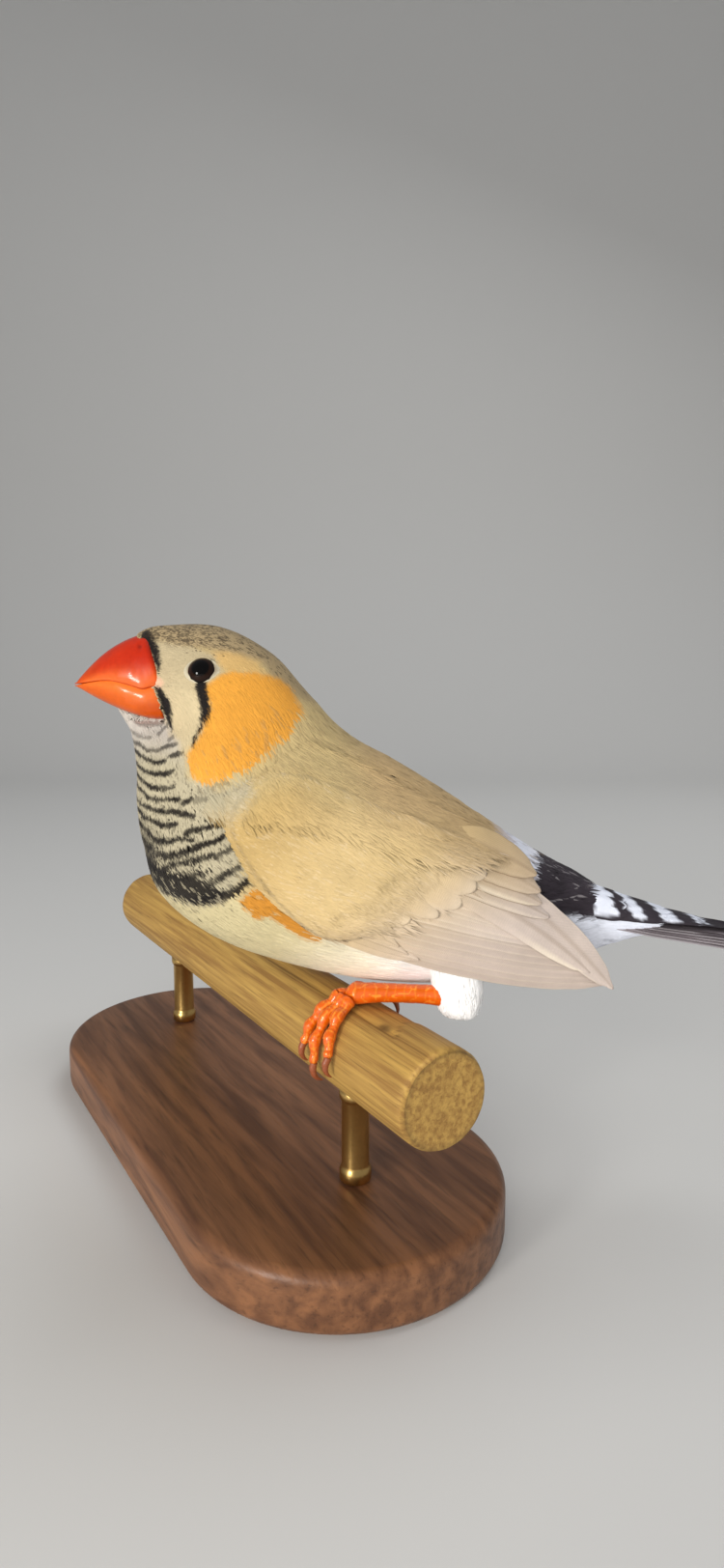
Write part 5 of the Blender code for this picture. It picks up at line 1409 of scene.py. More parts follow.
def put_blades(name, blades, finish=VANE):
    """Joins feathers into one piece, each feather's faces shifted past those before it."""
    shift, columns = 0, [[], [], [], [], []]
    for one in blades:
        for k, part in enumerate(one):
            columns[k].append(part + shift if k == 1 else part)
        shift += len(one[0])
    points, quads, tint, barb_map, flat = (np.concatenate(part) for part in columns)
    return put(name, points, [quads], finish, tint=np.clip(tint, 0, 1),
               maps={"OFBake": flat, "Barbs": barb_map})


def make_wing_core(side):
    """The covered arm under the feathers: its outline, drawn in ring by ring to a low dome."""
    outline = shell_outline(96)
    centre = outline.mean(0)
    rings = []
    for share, height in WING_CORE:
        spot = centre + (outline - centre) * share
        rings.append(wing_chart(side)(spot[:, 0], spot[:, 1], np.full(len(spot), height)))
    points, quads, caps = loft(rings, flip=side < 0)
    flat = np.stack([points[:, 0] / 80 + 0.5, points[:, 2] / 80 + 0.6], -1)
    core = put("wing_core_" + SIDES[side], points, [quads, caps], SKIN,
               tint=paint_wing(points), maps={"OFBake": flat})
    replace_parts(core, "wing_" + SIDES[side])


def flight_colour(kind, share, tone, rng):
    """A flight feather's colours: the wing's, streaked along the vane, with a pale edge, a
    darker shaft, and on the tertials a dark line inside the edge's rim that is painted shadow
    of the tertial's raised lower edge."""
    shift = rng.random(3) * 40

    def colour(t, u, at):
        streak = cloud(stacked(t * 1.2, u * 6, 0 * t) + shift, 1.0)
        base = paint_wing(at) * (tone + 0.06 * streak[..., None])
        edge = 0.3 * step(0.88, 0.98, np.abs(u))
        if kind == "primaries":
            base = over(base, TONES["wing_shade"], 0.22 * step(0.0, -0.6, u))
        if kind == "inner vanes" and share > 0:
            edge = 0.7 * step(-0.55, -0.8, u) * step(0.5, 0.75, t)
        if kind == "tertials":
            strong = 0.85 if 0 < share < 0.5 else 0.3
            edge = strong * step(-0.6, -0.78, u) * step(0.2, 0.5, t) * step(-1.0, -0.93, u)
        base = over(base, TONES["wing_edge"], edge)
        if kind == "tertials":
            base = over(base, TONES["mantle"] * 1.1, np.full(t.shape, 0.55 * share))
            # painted shadow: a dark line along each tertial's lower rim, where its raised edge
            # would shade
            base = over(base * 0.94, TONES["tertial_shadow"], 0.8 * step(-0.93, -0.99, u))
        return over(base, TONES["wing_shaft"], 0.3 * (np.abs(u) < 0.1))

    return colour


def make_flight_feathers(side, rng):
    """The flight feathers, row by row, each between its row's first and last feather."""
    chart = wing_chart(side)
    blades, cells = [], sum(row[1] for row in FLIGHT_ROWS)
    for kind, count, root_a, root_b, tip_a, tip_b, half_width, low, high, bow in FLIGHT_ROWS:
        proud = kind == "tertials"
        shape = TERTIAL_SHAPE if proud else FLIGHT_SHAPE
        for share in np.linspace(0, 1, count):
            tip = between(tip_a, tip_b, share) + rng.normal(0, 0.12, 2)
            depth = low + (high - low) * share
            cell = (len(blades) / cells, 0.0, 0.95 / cells, 1.0)
            colour = flight_colour(kind, share, 1 + 0.03 * rng.standard_normal(), rng)
            bend = bow + (0.0 if proud else (1.1 - bow) * share)
            blades.append(
                blade(chart, between(root_a, root_b, share), tip, half_width,
                      (depth - 0.3 * proud, depth + 0.05), bend, 0.32 if proud else 0.14,
                      colour, cell, **shape)
            )
    put_blades("flight_feathers_" + SIDES[side], blades)


def make_coverts(side, rng):
    """The greater and median coverts, the front ones over those behind them."""
    soft = wing_chart(side, SHELL_RISE)
    plans = []
    for count, root_a, root_b, tips, width in COVERT_ROWS:
        for share in np.linspace(0, 1, count):
            tip = [np.interp(share, np.linspace(0, 1, len(part)), part) for part in tips]
            tip = tip + rng.normal(0, (0.6, 0.2))
            plans.append((*between(root_a, root_b, share), *tip, width + rng.normal(0, 0.5)))
    plans = np.array(plans)
    plans = plans[np.argsort(-plans[:, 0])]

    def colour(t, u, at):
        # painted shade: each covert is darker at its root, where the coverts in front shade it, and
        # lighter towards its tip; the noise is its own uneven tone
        tone = 0.95 + 0.07 * step(0.1, 0.8, t) + 0.03 * cloud(at, 0.8, rng.random() * 30)
        side_rim = step(0.72, 0.95, np.abs(u)) * step(0.4, 0.8, t)
        rim = np.maximum(side_rim, step(0.82, 0.96, t))
        base = paint_wing(at) * (tone * (1 + 0.02 * rng.standard_normal()))[..., None]
        return over(base, TONES["wing_edge"], 0.16 * rim)

    blades = []
    for k, (a, c, tip_a, tip_c, width) in enumerate(plans):
        cell = (k / len(plans), 0.0, 0.9 / len(plans), 1.0)
        blades.append(
            blade(soft, (a, c), (tip_a, tip_c), width / 2, (-0.1, 0.02), rng.normal(0, 0.2),
                  rng.normal(0.03, 0.04), colour, cell, **COVERT_SHAPE)
        )
    put_blades("wing_coverts_" + SIDES[side], blades, SOFT_VANE)


def make_arm_coat(side, rng):
    """Barbs over the covered arm, which sink into the coverts at their rear."""
    soft = wing_chart(side, SHELL_RISE)

    def weight(a, c, at):
        low = np.interp(a, *WING_LOW) + 0.1 - 0.8 * step(13, 9, a)
        rear = a - 0.55 * (c - 1)
        return (c > low) * (c < np.interp(a, *WING_HIGH) - 0.3) * step(27.0, 19.0, rear)

    count = BARB_COUNTS["arm"]
    root = scatter(soft, (-0.9, 30.0), (-9.0, 9.2), count, weight, rng)
    a, c = root.T
    at = soft(a, c, np.zeros(count))
    size = (1.5 + 0.06 * a) * (0.8 + 0.4 * rng.random(count))
    wide = 0.23 + 0.1 * rng.random(count)
    depth = 0.4 + 0.07 * rng.random(count) + 0.1 * cloud(at, 1.9, 6.0)
    depth = depth - 0.62 * step(15.0, 25.5, a - 0.55 * (c - 1))
    lie = -0.12 - 0.03 * (c - 2) + 0.05 * rng.standard_normal(count) + 0.15 * cloud(at, 2.6, 2.0)
    pale = 0.14 * (rng.random(count) < 0.15)
    barbs("wing_arm_" + SIDES[side], soft, root, size, wide, depth, lie, rng, paint_shoulder,
          wing_home(root), tone=0.025, flecks=(pale, TONES["wing_edge"]))


def make_wing(side, rng):
    """A folded wing: its covered arm, the flight feathers in rows, the coverts over them and
    the soft feathers of the arm."""
    make_wing_core(side)
    make_flight_feathers(side, rng)
    make_coverts(side, rng)
    make_arm_coat(side, rng)


# Tail
def tail_height(x):
    """Height of the tail's middle line, which falls evenly from its root."""
    return TAIL_ROOT[1] + np.tan(TAIL_SLOPE) * (x - TAIL_ROOT[0])


def make_tail_feathers():
    """Twelve tail feathers in a shallow arch, the middle pair on top."""
    def deck(x, y, lift):
        return stacked(x, y, tail_height(x) - 0.012 * y**2 + lift)

    def grey(k):
        dark = np.clip(0.62 - 0.13 * k, 0.08, 1)

        def colour(t, u, at):
            base = plain("tail", t.shape) * (1 + 0.1 * cloud(at, 3.0)[..., None])
            line = cloud(stacked(at[..., 0] * 0.1, u * 6, k), 1.0)
            base = over(base, TONES["bar_black"], dark + 0.3 * step(0.2, 0.7, line))
            edge = 0.5 * step(0.88, 0.97, np.abs(u)) * (line < 0.3)
            return over(base, TONES["tail_edge"], edge)

        return colour

    blades = []
    for k in range(6):
        for side in SIDES:
            root = (TAIL_ROOT[0] + 0.8, side * (0.5 + 0.3 * k))
            tip = (TAIL_TIP_X - 0.28 * k, side * (1.0 + 0.52 * k))
            low = (-0.5 - 0.16 * k, -0.5 - 0.3 * k - 0.05 * (side > 0))
            cell = (len(blades) / 12, 0.0, 0.95 / 12, 1.0)
            blades.append(blade(deck, root, tip, 2.5, low, -side * 0.25, 0.12 * -side, grey(k),
                                cell, 26, 0.4, 0.2))
    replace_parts(put_blades("tail_feathers", blades), "tail")


def roof(x, c, lift):
    """The barred coverts' surface: half a tube from the tail up to the coverts' top line,
    which c goes round."""
    foot = tail_height(x) + 0.1
    rise = np.interp(x, *ROOF_TOP) - 0.5 - foot + lift
    turn = np.clip(c / 3.3, -1.75, 1.75)
    return stacked(x, (np.interp(x, *ROOF_SIDE) + lift) * np.sin(turn), foot + rise * np.cos(turn))


def under_floor(x, c, lift):
    """The white coverts' surface: half a tube from the tail down to their lower line."""
    foot = tail_height(x) - 0.2
    drop = np.interp(x, *FLOOR_LOW) - foot - lift
    turn = c / 3.0
    return stacked(x, (np.interp(x, *FLOOR_SIDE) + lift) * np.sin(turn), foot + drop * np.cos(turn))


def make_uppertail(rng):
    """The barred feathers over the tail, in tiers from the rear one forwards."""
    def barred(t, u, at):
        place = at[..., 0] - 0.3 * np.abs(at[..., 1]) + 0.9 * np.abs(u)
        white = np.interp(place + 0.2 + 0.25 * rng.standard_normal(), BLOCK_EDGES, BLOCK_WHITE)
        base = plain("bar_black", t.shape) * (1 + 0.15 * cloud(at, 1.2))[..., None]
        rise = at[..., 2] - tail_height(at[..., 0])
        low = step(0.1, 0.55, rise + 0.25 * cloud(at, 0.8, 2.0))
        return over(base, TONES["bar_white"] * 0.98, white * low)

    blades, cells = [], sum(tier[0] for tier in COVERT_TIERS)
    for count, root_x, tip_x, half_width, spread, depth in COVERT_TIERS:
        for y in np.linspace(-1, 1, count):
            root = (TAIL_ROOT[0] + root_x, y * spread * 0.85)
            tip = (tip_x - 1.0 * y**2 + rng.normal(0, 0.3), y * spread)
            cell = (len(blades) / cells, 0.0, 0.95 / cells, 1.0)
            blades.append(blade(roof, root, tip, half_width, (depth - 0.1, depth + 0.1), 0.0,
                                0.0, barred, cell, 24, 0.45, 0.1, cup=0.08))
    made = put_blades("barred_tail_coverts", blades)
    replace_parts(made, "uppertail_coverts")


def make_undertail(rng):
    """The loose white feathers under the tail's root."""
    count, rays, places = BARB_COUNTS["undertail"], 11, 4
    root = np.stack([TAIL_ROOT[0] - 5.0 + 12.5 * rng.random(count),
                     5.0 * (rng.random(count) * 2 - 1)], -1)
    size = 3.8 + 0.8 * rng.random(count)
    pick, along, aside, half, lift = soft_feathers(size, 2.6, 0.5, rays, rng, places)
    lie = (0.1 * rng.standard_normal(count))[pick]
    points, faces, share, normals = strands(under_floor, root[pick], lie, along, aside, half,
                                            lift - 0.3)
    # painted shade: the white barbs are darker at their roots, where the feathers over them shade
    # them, and lighter to their tips
    tint = plain("bar_white", points.shape[:2]) * (0.9 + 0.12 * share)[None, :, None]
    tint = tint * (1 + 0.04 * rng.standard_normal(len(pick)))[:, None, None]
    home = np.stack([root[:, 0] / 16 - 1.5, root[:, 1] / 11 + 0.5], -1)[pick]
    home = home_patch(home, along, aside, size[pick], places)
    made = coat("undertail_coat", points, faces, normals, np.clip(tint, 0, 1), home, DOWN)
    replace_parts(made[0], "undertail_coverts")


# Bill and eyes
def make_bill():
    """Two mandibles lofted from the tip back, with a pale raised cutting edge between. Round
    each ring the sine and cosine are raised to powers, for a keeled culmen and a full jaw."""
    table = smooth(BILL, np.linspace(0, len(BILL) - 1, 64))
    table[0, 0] = 0.12
    distance, culmen, mouth, gonys, width = (table[:, k, None] for k in range(5))
    tip = np.clip(distance / 0.6, 0.25, 1) ** 0.5
    angle = ring(64)[None]
    x = BILL_TIP_X + distance + 0 * angle
    up, side = np.sin(angle), np.cos(angle)
    edge = 0.1 * np.exp(-((np.abs(up) / 0.16) ** 2)) * np.clip(distance / 4, 0, 1)
    pale = np.exp(-((np.abs(up) / 0.2) ** 2)) * step(0.5, 3.0, distance)
    home = stacked(angle / 6.4, distance / 14).reshape(-1, 2)
    for half in ("upper", "lower"):
        if half == "upper":
            swell = np.where(up > 0, np.abs(up) ** 0.88, -0.12 * np.abs(up))
            z = mouth + 0.1 + (culmen - mouth - 0.1) * tip * swell
            keel = 1 + 0.04 * np.sin(np.pi * np.clip(up, 0, 1))
            y = (width * tip + edge) * keep_sign(side, 0.85) * keel
            shade = step(0.0, 0.5, up)
            red = 0.35 + 0.45 * shade + 0.2 * step(5.0, 12.0, distance) * shade
            tint = over(plain("bill_light", z.shape), TONES["bill_red"], red)
            tint = over(tint, TONES["bill_orange"], 0.55 * step(5.0, 0.5, distance))
            hole = ((x - NOSTRIL[0]) ** 2 + (z - NOSTRIL[1]) ** 2) / NOSTRIL_RADIUS**2
            hole = np.exp(-(hole**2))
            y = y * (1 - 0.1 * hole)
            # painted shade: a dark patch where the nostril opens, since the shallow dent alone
            # casts no shade
            tint = over(tint, TONES["nostril"], 0.7 * hole)
        else:
            square = 0.88 - 0.4 * np.clip(distance / 9.0, 0, 1)
            swell = np.where(up < 0, -(np.abs(up) ** square), 0.1 * np.abs(up))
            z = mouth - 0.1 + (mouth - gonys - 0.1) * tip * swell
            y = (0.93 * width * tip + edge) * keep_sign(side, square)
            rear = 0.25 * step(8.0, 12.0, distance)
            tint = over(plain("bill_orange", z.shape), TONES["bill_red"], rear)
        tint = over(tint, TONES["bill_rim"], 0.35 * pale)
        here = np.stack([x, y, z], -1)
        y = y * (1 + 0.03 * cloud(here, 1.9, 3.0) + 0.01 * cloud(here, 0.6, 5.0))
        y = y * (1 - 0.45 * step(bill_edge(z) - 0.1, bill_edge(z) + 1.3, x))
        points, quads, caps = loft(np.stack([x, y, z], -1))
        made = put("bill_horn_" + half, points, [quads, caps], HORN, tint=with_ends(tint),
                   maps={"OFBake": np.concatenate([home, [[0.5, 0.0], [0.5, 0.95]]])})
        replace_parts(made, "bill_" + half)


def eye_frame(side):
    """The eye's middle on the head, with the directions ahead, up and outwards there."""
    x, z = EYE_CENTRE
    e = 0.5
    w = float(body_half_width(x, z))
    dx = float(body_half_width(x + e, z) - body_half_width(x - e, z)) / (2 * e)
    dz = float(body_half_width(x, z + e) - body_half_width(x, z - e)) / (2 * e)
    out = np.array([-dx, 1.0, -dz]) / np.sqrt(1 + dx * dx + dz * dz)
    ahead = np.array([1.0, dx, 0.0])
    ahead -= out * (ahead @ out)
    ahead /= np.linalg.norm(ahead)
    up = np.cross(ahead, out)
    up = up if up[2] > 0 else -up
    mirror = np.array([1, side, 1])
    return np.array([x, w, z]) * mirror, ahead * mirror, up * mirror, out * mirror


def make_eyeball(side, middle, ahead, up, out):
    """A ball with a clear bulge in front, its pupil and iris painted round the axis."""
    polar = np.linspace(0.02, np.pi - 0.02, 48)[:, None]
    turn = ring(64)[None]
    bulge = EYE_RADIUS - 0.1 + 0.12 * np.exp(-((polar / 0.75) ** 2))
    spot = (
        out * (bulge * np.cos(polar) + 0 * turn)[..., None]
        + ahead * (bulge * np.sin(polar) * np.cos(turn))[..., None]
        + up * (bulge * np.sin(polar) * np.sin(turn))[..., None]
    )
    ball = middle - out * (EYE_DEPTH - 0.1)
    points, quads, caps = loft(ball + spot, flip=side < 0)
    from_axis = np.concatenate([(polar + 0 * turn).ravel(), [0.0, np.pi]]) * EYE_RADIUS
    iris = step(1.15, 1.25, from_axis) * step(2.1, 1.6, from_axis)
    tint = over(plain("pupil", from_axis.shape), TONES["iris"], iris)
    home = stacked(turn / 6.4, polar / 3.2).reshape(-1, 2)
    made = put("eyeball_" + SIDES[side], points, [quads, caps], EYE, tint=tint,
               maps={"OFBake": np.concatenate([home, [[0.5, 0], [0.5, 1]]])})
    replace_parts(made, "eye_" + SIDES[side])


def make_lid_ring(side, middle, ahead, up, out):
    """The ring of bare lid skin round the eye, a flattened tube that is drawn out to a point
    behind and has fine folds along it."""
    phi, psi = ring(LID_RINGS)[:, None], ring(LID_SIDES)[None]
    corner = np.clip(np.cos(phi), 0, 1) ** 7
    front = np.clip(-np.cos(phi), 0, 1) ** 8
    spare = 0.6 + 1.15 * corner + 0.2 * front
    reach_x, reach_z = 1.56 + spare / 2, 1.3 + spare / 2
    wide = spare / 2 + 0.015 * np.sin(phi * 9 + 1)
    radial_x, radial_z = np.cos(phi), np.sin(phi) * (1 - 0.3 * corner)
    flat_x = reach_x * radial_x + wide * np.cos(psi) * radial_x
    flat_z = reach_z * radial_z + wide * np.cos(psi) * np.sin(phi)
    x = middle[0] + flat_x * ahead[0] + flat_z * up[0]
    z = middle[2] + flat_x * ahead[2] + flat_z * up[2]
    surface = np.stack([x, side * body_half_width(x, z), z], -1)
    folds = 0.03 * np.sin(3 * psi + 2 * np.sin(phi * 7)) + 0.02 * cloud(surface, 0.4)
    height = -0.22 + (0.2 + folds) * np.sin(psi) - 0.12 * np.cos(psi)
    points = (surface + out * height[..., None]).reshape(-1, 3)
    wrap = np.arange(LID_SIDES)
    nxt = (wrap + 1) % LID_SIDES
    last = (LID_RINGS - 1) * LID_SIDES
    join_up = np.stack([last + wrap, last + nxt, nxt, wrap], -1)
    quads = np.concatenate([grid_faces(LID_RINGS, LID_SIDES), join_up])
    if side > 0:
        quads = quads[:, ::-1]
    inner = 0.75 * step(0.2, -0.9, np.cos(psi))
    tint = over(plain("lid", (LID_RINGS, LID_SIDES)), TONES["lid_inner"], inner)
    home = stacked(phi / 6.4, psi / 6.4).reshape(-1, 2)
    put("lid_ring_" + SIDES[side], points, [quads], LID, tint=tint,
        maps={"OFBake": home})


# Legs
def on_rod(hold, along, angle, lift):
    """A point at a height over a rod's skin, at an angle forwards from its top."""
    point, axis, front, radius = (np.asarray(part, float) for part in hold)
    along, angle, lift = np.broadcast_arrays(along, angle, lift)
    up = np.array([0.0, 0.0, 1.0])
    around = front * np.sin(angle)[..., None] + up * np.cos(angle)[..., None]
    return point + axis * along[..., None] + around * (radius + lift)[..., None]


def tube(path, radii, sides, up=(0.0, 0.0, 1.0), relief=0.0):
    """Rings round a path; relief is added to the radius at each place and angle."""
    path = np.asarray(path, float)
    along = np.gradient(path, axis=0)
    along /= np.linalg.norm(along, axis=1, keepdims=True)
    up = np.broadcast_to(np.asarray(up, float), path.shape)
    lift = up - along * (along * up).sum(1, keepdims=True)
    lift /= np.linalg.norm(lift, axis=1, keepdims=True)
    beside = np.cross(along, lift)
    turn = ring(sides)[None]
    radius = np.asarray(radii)[:, None] + relief
    wide, high = (radius * np.cos(turn))[..., None], (radius * np.sin(turn))[..., None]
    return path[:, None] + beside[:, None] * wide + lift[:, None] * high


def scutes(length, spacing, turn, depth):
    """Overlapping plates along a leg: a sawtooth along it, on the upper half only, and the
    line between two plates."""
    tooth = (length / spacing) % 1.0
    upper = step(-0.5, 0.1, np.sin(turn))
    line = step(0.82, 0.95, tooth) * upper + step(0.1, 0.0, tooth) * upper * 0.6
    return depth * (tooth - 0.5) * upper, line


def leg_tube(path, radii, sides, up, spacing, depth):
    """A scaled tube with its colours: low plates along it, and thin pale lines that wander,
    where smooth noise over the length and the angle passes through nought."""
    turn = ring(sides)[None]
    steps = np.linalg.norm(np.diff(path, axis=0), axis=1)
    length = np.concatenate([[0], np.cumsum(steps)])[:, None]
    place = stacked(length * 0.8, 1.5 * np.cos(turn), 1.5 * np.sin(turn))
    wander = cloud(place, 1.1, 11.0 + path[0, 0])
    relief, line = scutes(length + 0.3 * wander, spacing, turn, depth)
    vein = step(0.13, 0.03, np.abs(cloud(place, 0.7, 3.0) + 0.3 * wander))
    fade = np.sin(np.pi * np.linspace(0.04, 0.96, len(path)))[:, None] ** 0.3
    rings = tube(path, radii, sides, up, (relief - 0.035 * vein + 0.05 * wander) * fade)
    points, quads, caps = loft(rings)
    tint = plain("leg", line.shape) * (1 + 0.08 * wander)[..., None]
    tint = over(tint, TONES["leg_line"], np.clip(0.3 * line + 0.6 * vein, 0, 0.75))
    # painted shade: each tube is darker deep orange on its underside, facing away from its up
    # direction
    tint = over(tint, TONES["leg_deep"], 0.35 * step(0.2, -0.7, np.sin(turn)))
    return points, quads, caps, np.clip(with_ends(tint), 0, 1)


def off_axis(path, centre, axis):
    """Directions from a rod's axis to each point of a path."""
    away = path - centre
    return away - np.outer(away @ axis, axis)


def make_toe(foot, near, far, reach, claw):
    """A toe bent round what the foot holds, thicker at its joints, and the claw that goes on
    from its end."""
    side, curl, hold = foot["side"], foot["curl"], foot["hold"]
    centre, axis = np.asarray(hold[0], float), np.asarray(hold[1], float)
    t = np.linspace(0, 1, 64)
    turn = np.radians(foot["start"]) + np.radians(reach * curl) * t
    along = -side * (near + (far - near) * t)
    radius = TOE_RADIUS * (1.0 + 0.16 * np.cos(6 * np.pi * t)) * (1.06 - 0.3 * t)
    path = on_rod(hold, along, turn, GAP + 0.05 + radius)
    radius = radius * np.sqrt(np.clip((1 - t) * 12, 0.05, 1))
    toe = leg_tube(path, radius, 28, off_axis(path, centre, axis), 0.62, 0.06)
    share = np.linspace(-0.1, 1, 26)
    claw_turn = turn[-1] + np.radians(claw * curl) * share
    thick = np.interp(share, CLAW_AT, (0.5, 0.48, 0.38, 0.26, 0.06))
    arch = np.interp(share, CLAW_AT, (0.15, 0.45, 0.6, 0.5, 0.15))
    path = on_rod(hold, along[-1], claw_turn, GAP + 0.05 + thick + arch)
    points, quads, caps = loft(tube(path, thick, 14, off_axis(path, centre, axis)))
    shape = points.shape[:1]
    tint = over(plain("leg_deep", shape), TONES["claw"], np.full(shape, 0.8))
    return toe, (points, quads, caps, tint)


def make_leg(label, foot):
    """The bare shank, widest at its two ends, with the toes and the claws."""
    pad = on_rod(foot["hold"], 0.0, np.radians(foot["start"] - 3), GAP + 0.1 + 1.3)
    hock = np.array(foot["hock"])
    t = np.linspace(0, 1, 130)[:, None]
    lift = 0.45 * np.sin(np.pi * np.clip(t, 0, 1)) ** 0.6
    path = pad + (hock - pad) * t + np.array([0, 0, 1.0]) * lift
    t = t[:, 0]
    radii = TARSUS_RADIUS * (0.9 + 0.22 * (2 * t - 1) ** 2)
    radii = radii * np.sqrt(np.clip(t * 14, 0.04, 1)) * np.sqrt(np.clip((1 - t) * 14, 0.04, 1))
    shank = leg_tube(path, radii, 64, (0, 0, 1.0), 1.3, 0.05)
    toes, claws = zip(*(make_toe(foot, *toe) for toe in TOES.values()))
    points, faces, tint = merge([shank, *toes])
    made = put("scaled_leg_" + label, points, faces, BARE, tint=tint)
    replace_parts(made, "leg_" + label)
    points, faces, tint = merge(claws)
    put("claws_" + label, points, faces, CLAW, tint=tint)


# Perch and stand
def make_perch():
    """The round perch, its rims eased, with a worn flat where the birds stand and a knot."""
    half = PERCH_LENGTH / 2
    middle = np.linspace(-half, half, 150)
    rim, ends = np.full(3, half), np.array([0.4, 0.8, 0.93])
    along = np.concatenate([-rim, middle, rim])[:, None]
    shoulder = 1 - 0.07 * np.exp(-((half - np.abs(middle)) / 0.35))
    ease = np.concatenate([ends, shoulder, ends[::-1]])[:, None]
    turn = ring(120)[None]
    radius = PERCH_RADIUS * ease + 0 * turn
    facing = np.cos(turn - np.radians(66))
    flat = step(0.62, 0.72, facing) * step(-46.0, -44.5, along - 10 * (facing - 0.8))
    worn = flat * step(20.0, 8.0, along)
    here = stacked(along, radius * np.cos(turn), radius * np.sin(turn))
    uneven = cloud(here * np.array([0.15, 1, 1]), 1.2) + 1
    radius = radius - 0.22 * worn * np.clip((ease - 0.8) / 0.2, 0, 1) - 0.05 * uneven
    rings = (
        PERCH_AXIS * along[..., None]
        + PERCH_FRONT * -(radius * np.cos(turn))[..., None]
        + np.array([0.0, 0.0, 1.0]) * (radius * np.sin(turn) + PERCH_HEIGHT)[..., None]
    )
    points, quads, caps = loft(rings)
    finish, tree, shader, scale = grained(
        "perch wood", "perch_dark", "perch_light", (0.55, 0.8), (45.0, 1500.0, 1500.0)
    )
    tint = over(np.ones((*worn.shape, 3)), np.array([1.22, 1.2, 1.12]), worn)
    tint = over(tint, np.array([0.5, 0.42, 0.3]), 0.7 * step(0.1, 0.5, worn) * step(0.9, 0.5, worn))
    round_knot = (turn - np.radians(108)) * PERCH_RADIUS / 0.7
    knot = np.exp(-(((along + 43.0) / 1.1) ** 2 + round_knot**2) ** 2)
    tint = over(tint, np.array([0.25, 0.18, 0.12]), 0.85 * knot)
    wear = add_node(tree, "Attribute", attribute_name="tint")
    both = add_node(tree, "VectorMath", operation="MULTIPLY")
    join(
        tree,
        (scale.outputs[0], both.inputs[0]),
        (wear.outputs["Color"], both.inputs[1]),
        (both.outputs[0], shader.inputs["Base Color"]),
    )
    made = put("perch_rod", points, [quads, caps], finish, STAND_ORIGIN,
               tint=with_ends(tint))
    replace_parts(made, "perch")


def make_base():
    """The flat base: an outline with half-round ends, inset by the profile of an eased edge
    from its underside to its top."""
    radius, straight = BASE_WIDTH / 2, (BASE_LENGTH - BASE_WIDTH) / 2
    turn = np.linspace(0, np.pi, 49)
    out = np.stack([np.sin(turn), np.cos(turn)], -1)
    half = np.stack([straight + radius * np.sin(turn), radius * np.cos(turn)], -1)
    out, outline = np.concatenate([out, -out]), np.concatenate([half, -half])
    edge, bend = BASE_EDGE, np.linspace(0, np.pi / 2, 7)
    profile = [(-12.0, 0.0), (-edge, 0.0)]
    profile += [(-edge + edge * np.sin(b), edge - edge * np.cos(b)) for b in bend]
    profile += [(-edge + edge * np.cos(b), BASE_THICKNESS - edge + edge * np.sin(b)) for b in bend]
    profile += [(-6.0, BASE_THICKNESS), (-14.0, BASE_THICKNESS)]
    rings = []
    for inset, z in profile:
        flat = outline + out * inset
        spot = flat[:, :1] * PERCH_AXIS[:2] + flat[:, 1:] * PERCH_FRONT[:2]
        rings.append(np.concatenate([spot, np.full((len(flat), 1), z)], 1))
    points, quads, caps = loft(rings, flip=True)
    finish = grained("stand wood", "base_dark", "base_light", (0.35, 0.55), (45.0, 520.0, 520.0))[0]
    made = put("stand_base_wood", points, [quads, caps], finish, STAND_ORIGIN)
    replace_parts(made, "stand_base")


def make_rods():
    """Two brass rods turned from one profile, with a collar at each end."""
    foot = BASE_THICKNESS + GAP
    top = PERCH_HEIGHT - PERCH_RADIUS - GAP
    wide, neck = ROD_RADIUS, ROD_RADIUS - 0.3
    line = np.array([
        (0.2, foot), (2.0, foot), (wide, foot + 0.2), (wide, foot + 1.6), (2.0, foot + 1.9),
        (neck, foot + 2.4), (neck, top - 1.8), (2.05, top - 1.5), (wide, top - 1.2),
        (wide, top - 0.2), (2.0, top), (0.2, top),
    ])
    brass = tinted("rod brass", (0.25, 0.4), 300.0, 2500.0, 0.2, (0.15, 0.02), Metallic=1.0)[0]
    turn = ring(64)[None]
    for name, share in (("stand_rod_front", -0.5), ("stand_rod_back", 0.5)):
        centre = PERCH_AXIS * (ROD_SPACING * share)
        rings = stacked(centre[0] + line[:, :1] * np.cos(turn),
                        centre[1] + line[:, :1] * np.sin(turn), line[:, 1:])
        points, quads, caps = loft(rings)
        made = put("turned_" + name, points, [quads, caps], brass, STAND_ORIGIN,
                   tint=np.broadcast_to(TONES["brass"], points.shape))
        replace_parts(made, name)


# Stage
def link(name, data):
    """A new object in the scene."""
    made = bpy.data.objects.new(name, data)
    bpy.context.scene.collection.objects.link(made)
    return made


def place_in(obj, x, y, z, at):
    """Sets an object's frame from its three directions and its place."""
    matrix = np.eye(4)
    matrix[:3, 0], matrix[:3, 1], matrix[:3, 2], matrix[:3, 3] = x, y, z, at
    obj.matrix_world = Matrix(matrix.tolist())


def make_floor():
    """A pale floor that curves up to a backdrop, in metres."""
    bend = np.linspace(0, np.pi / 2, 13)[1:]
    profile = [(-1.2, 0.0), (0.5, 0.0)]
    profile += [(0.5 + 0.3 * np.sin(b), 0.3 - 0.3 * np.cos(b)) for b in bend] + [(0.8, 1.6)]
    points = [(x, y, z) for y, z in profile for x in (-1.8, 1.8)]
    faces = [(2 * k, 2 * k + 1, 2 * k + 3, 2 * k + 2) for k in range(len(profile) - 1)]
    mesh = bpy.data.meshes.new("floor")
    mesh.from_pydata(points, [], faces)
    mesh.polygons.foreach_set("use_smooth", [True] * len(faces))
    pale, _, shader = new_material("pale floor")
    shader.inputs["Base Color"].default_value = (0.62, 0.61, 0.59, 1)
    shader.inputs["Roughness"].default_value = 0.9
    mesh.materials.append(pale)
    link("floor", mesh)


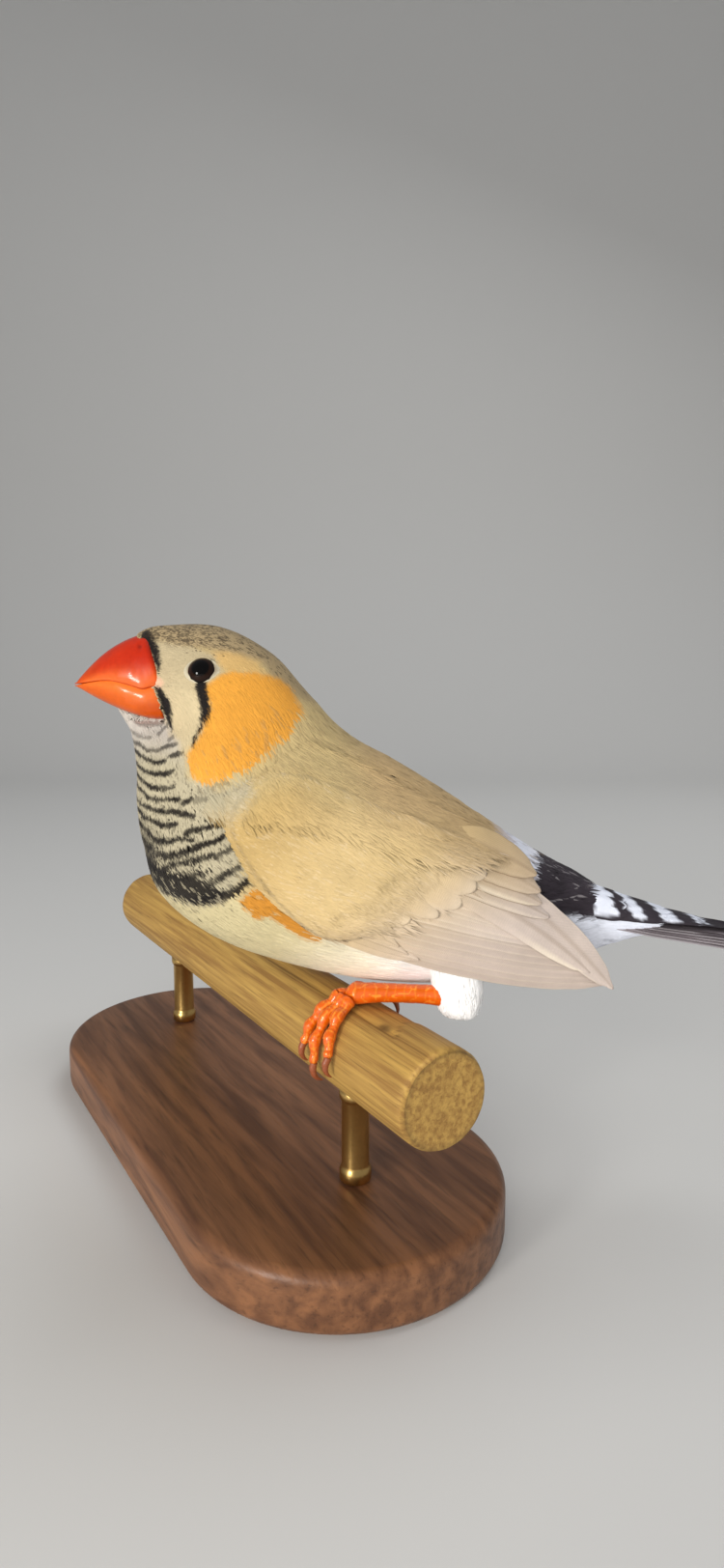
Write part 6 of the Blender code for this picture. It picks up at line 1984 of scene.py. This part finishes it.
def make_lights():
    """A dim even room, and round lamps that face the bird: name, place, size, power and
    colour. Only the small one shows in glossy surfaces."""
    world = bpy.data.worlds.new("room")
    bpy.context.scene.world = world
    world.use_nodes = True
    background = world.node_tree.nodes["Background"]
    background.inputs[0].default_value = (0.93, 0.96, 1.0, 1)
    background.inputs[1].default_value = 0.33
    for name, place, size, power, tone in (
        ("key", (-0.12, -0.69, 0.22), 0.55, 3.5, (1.0, 0.97, 0.93)),
        ("gleam", (-0.19, -0.28, 0.08), 0.075, 0.55, (1.0, 0.98, 0.95)),
        ("top", (0.28, 0.18, 0.72), 0.6, 2.4, (0.96, 0.98, 1.0)),
    ):
        lamp = bpy.data.lights.new(name, "AREA")
        lamp.shape = "DISK"
        lamp.size = size
        lamp.energy = power
        lamp.color = tone
        held = link(name, lamp)
        held.visible_glossy = name == "gleam"
        z = np.array(place) - BIRD_ORIGIN * MM
        z /= np.linalg.norm(z)
        x = np.cross([0, 0, 1.0], z)
        x /= np.linalg.norm(x)
        place_in(held, x, np.cross(z, x), z, place)


def make_camera():
    """The photo's view: its focal length in pixels, tipped down towards the bird's middle."""
    lens = bpy.data.cameras.new("camera")
    lens.sensor_width = 36.0
    lens.sensor_fit = "AUTO"
    lens.lens = lens.sensor_width * FOCAL_PIXELS / FRAME_HEIGHT
    lens.clip_start = 0.001
    lens.clip_end = 20.0
    view = link("camera", lens)
    ahead = np.array([0.0, np.cos(CAMERA_TIP), -np.sin(CAMERA_TIP)])
    up = np.array([0.0, np.sin(CAMERA_TIP), np.cos(CAMERA_TIP)])
    at = (BIRD_ORIGIN - ahead * CAMERA_DISTANCE) * MM
    place_in(view, np.array([1.0, 0, 0]), up, -ahead, at)
    bpy.context.scene.camera = view
    bpy.context.scene.view_settings.view_transform = "Standard"


def main():
    """Builds the stage, the bird from the skin outwards, and its perch and stand."""
    rng = np.random.default_rng(41)
    make_floor()
    make_lights()
    make_camera()
    make_skin()
    make_throat_coat(rng)
    make_head_coat(rng)
    make_body_coat(rng)
    make_thigh_tufts(rng)
    for side in SIDES:
        make_wing(side, rng)
        make_cape(side, rng)
    make_tail_feathers()
    make_uppertail(rng)
    make_undertail(rng)
    make_bill()
    for side in SIDES:
        frame_there = eye_frame(side)
        make_eyeball(side, *frame_there)
        make_lid_ring(side, *frame_there)
    for label, foot in FEET.items():
        make_leg(label, foot)
    make_perch()
    make_base()
    make_rods()


main()
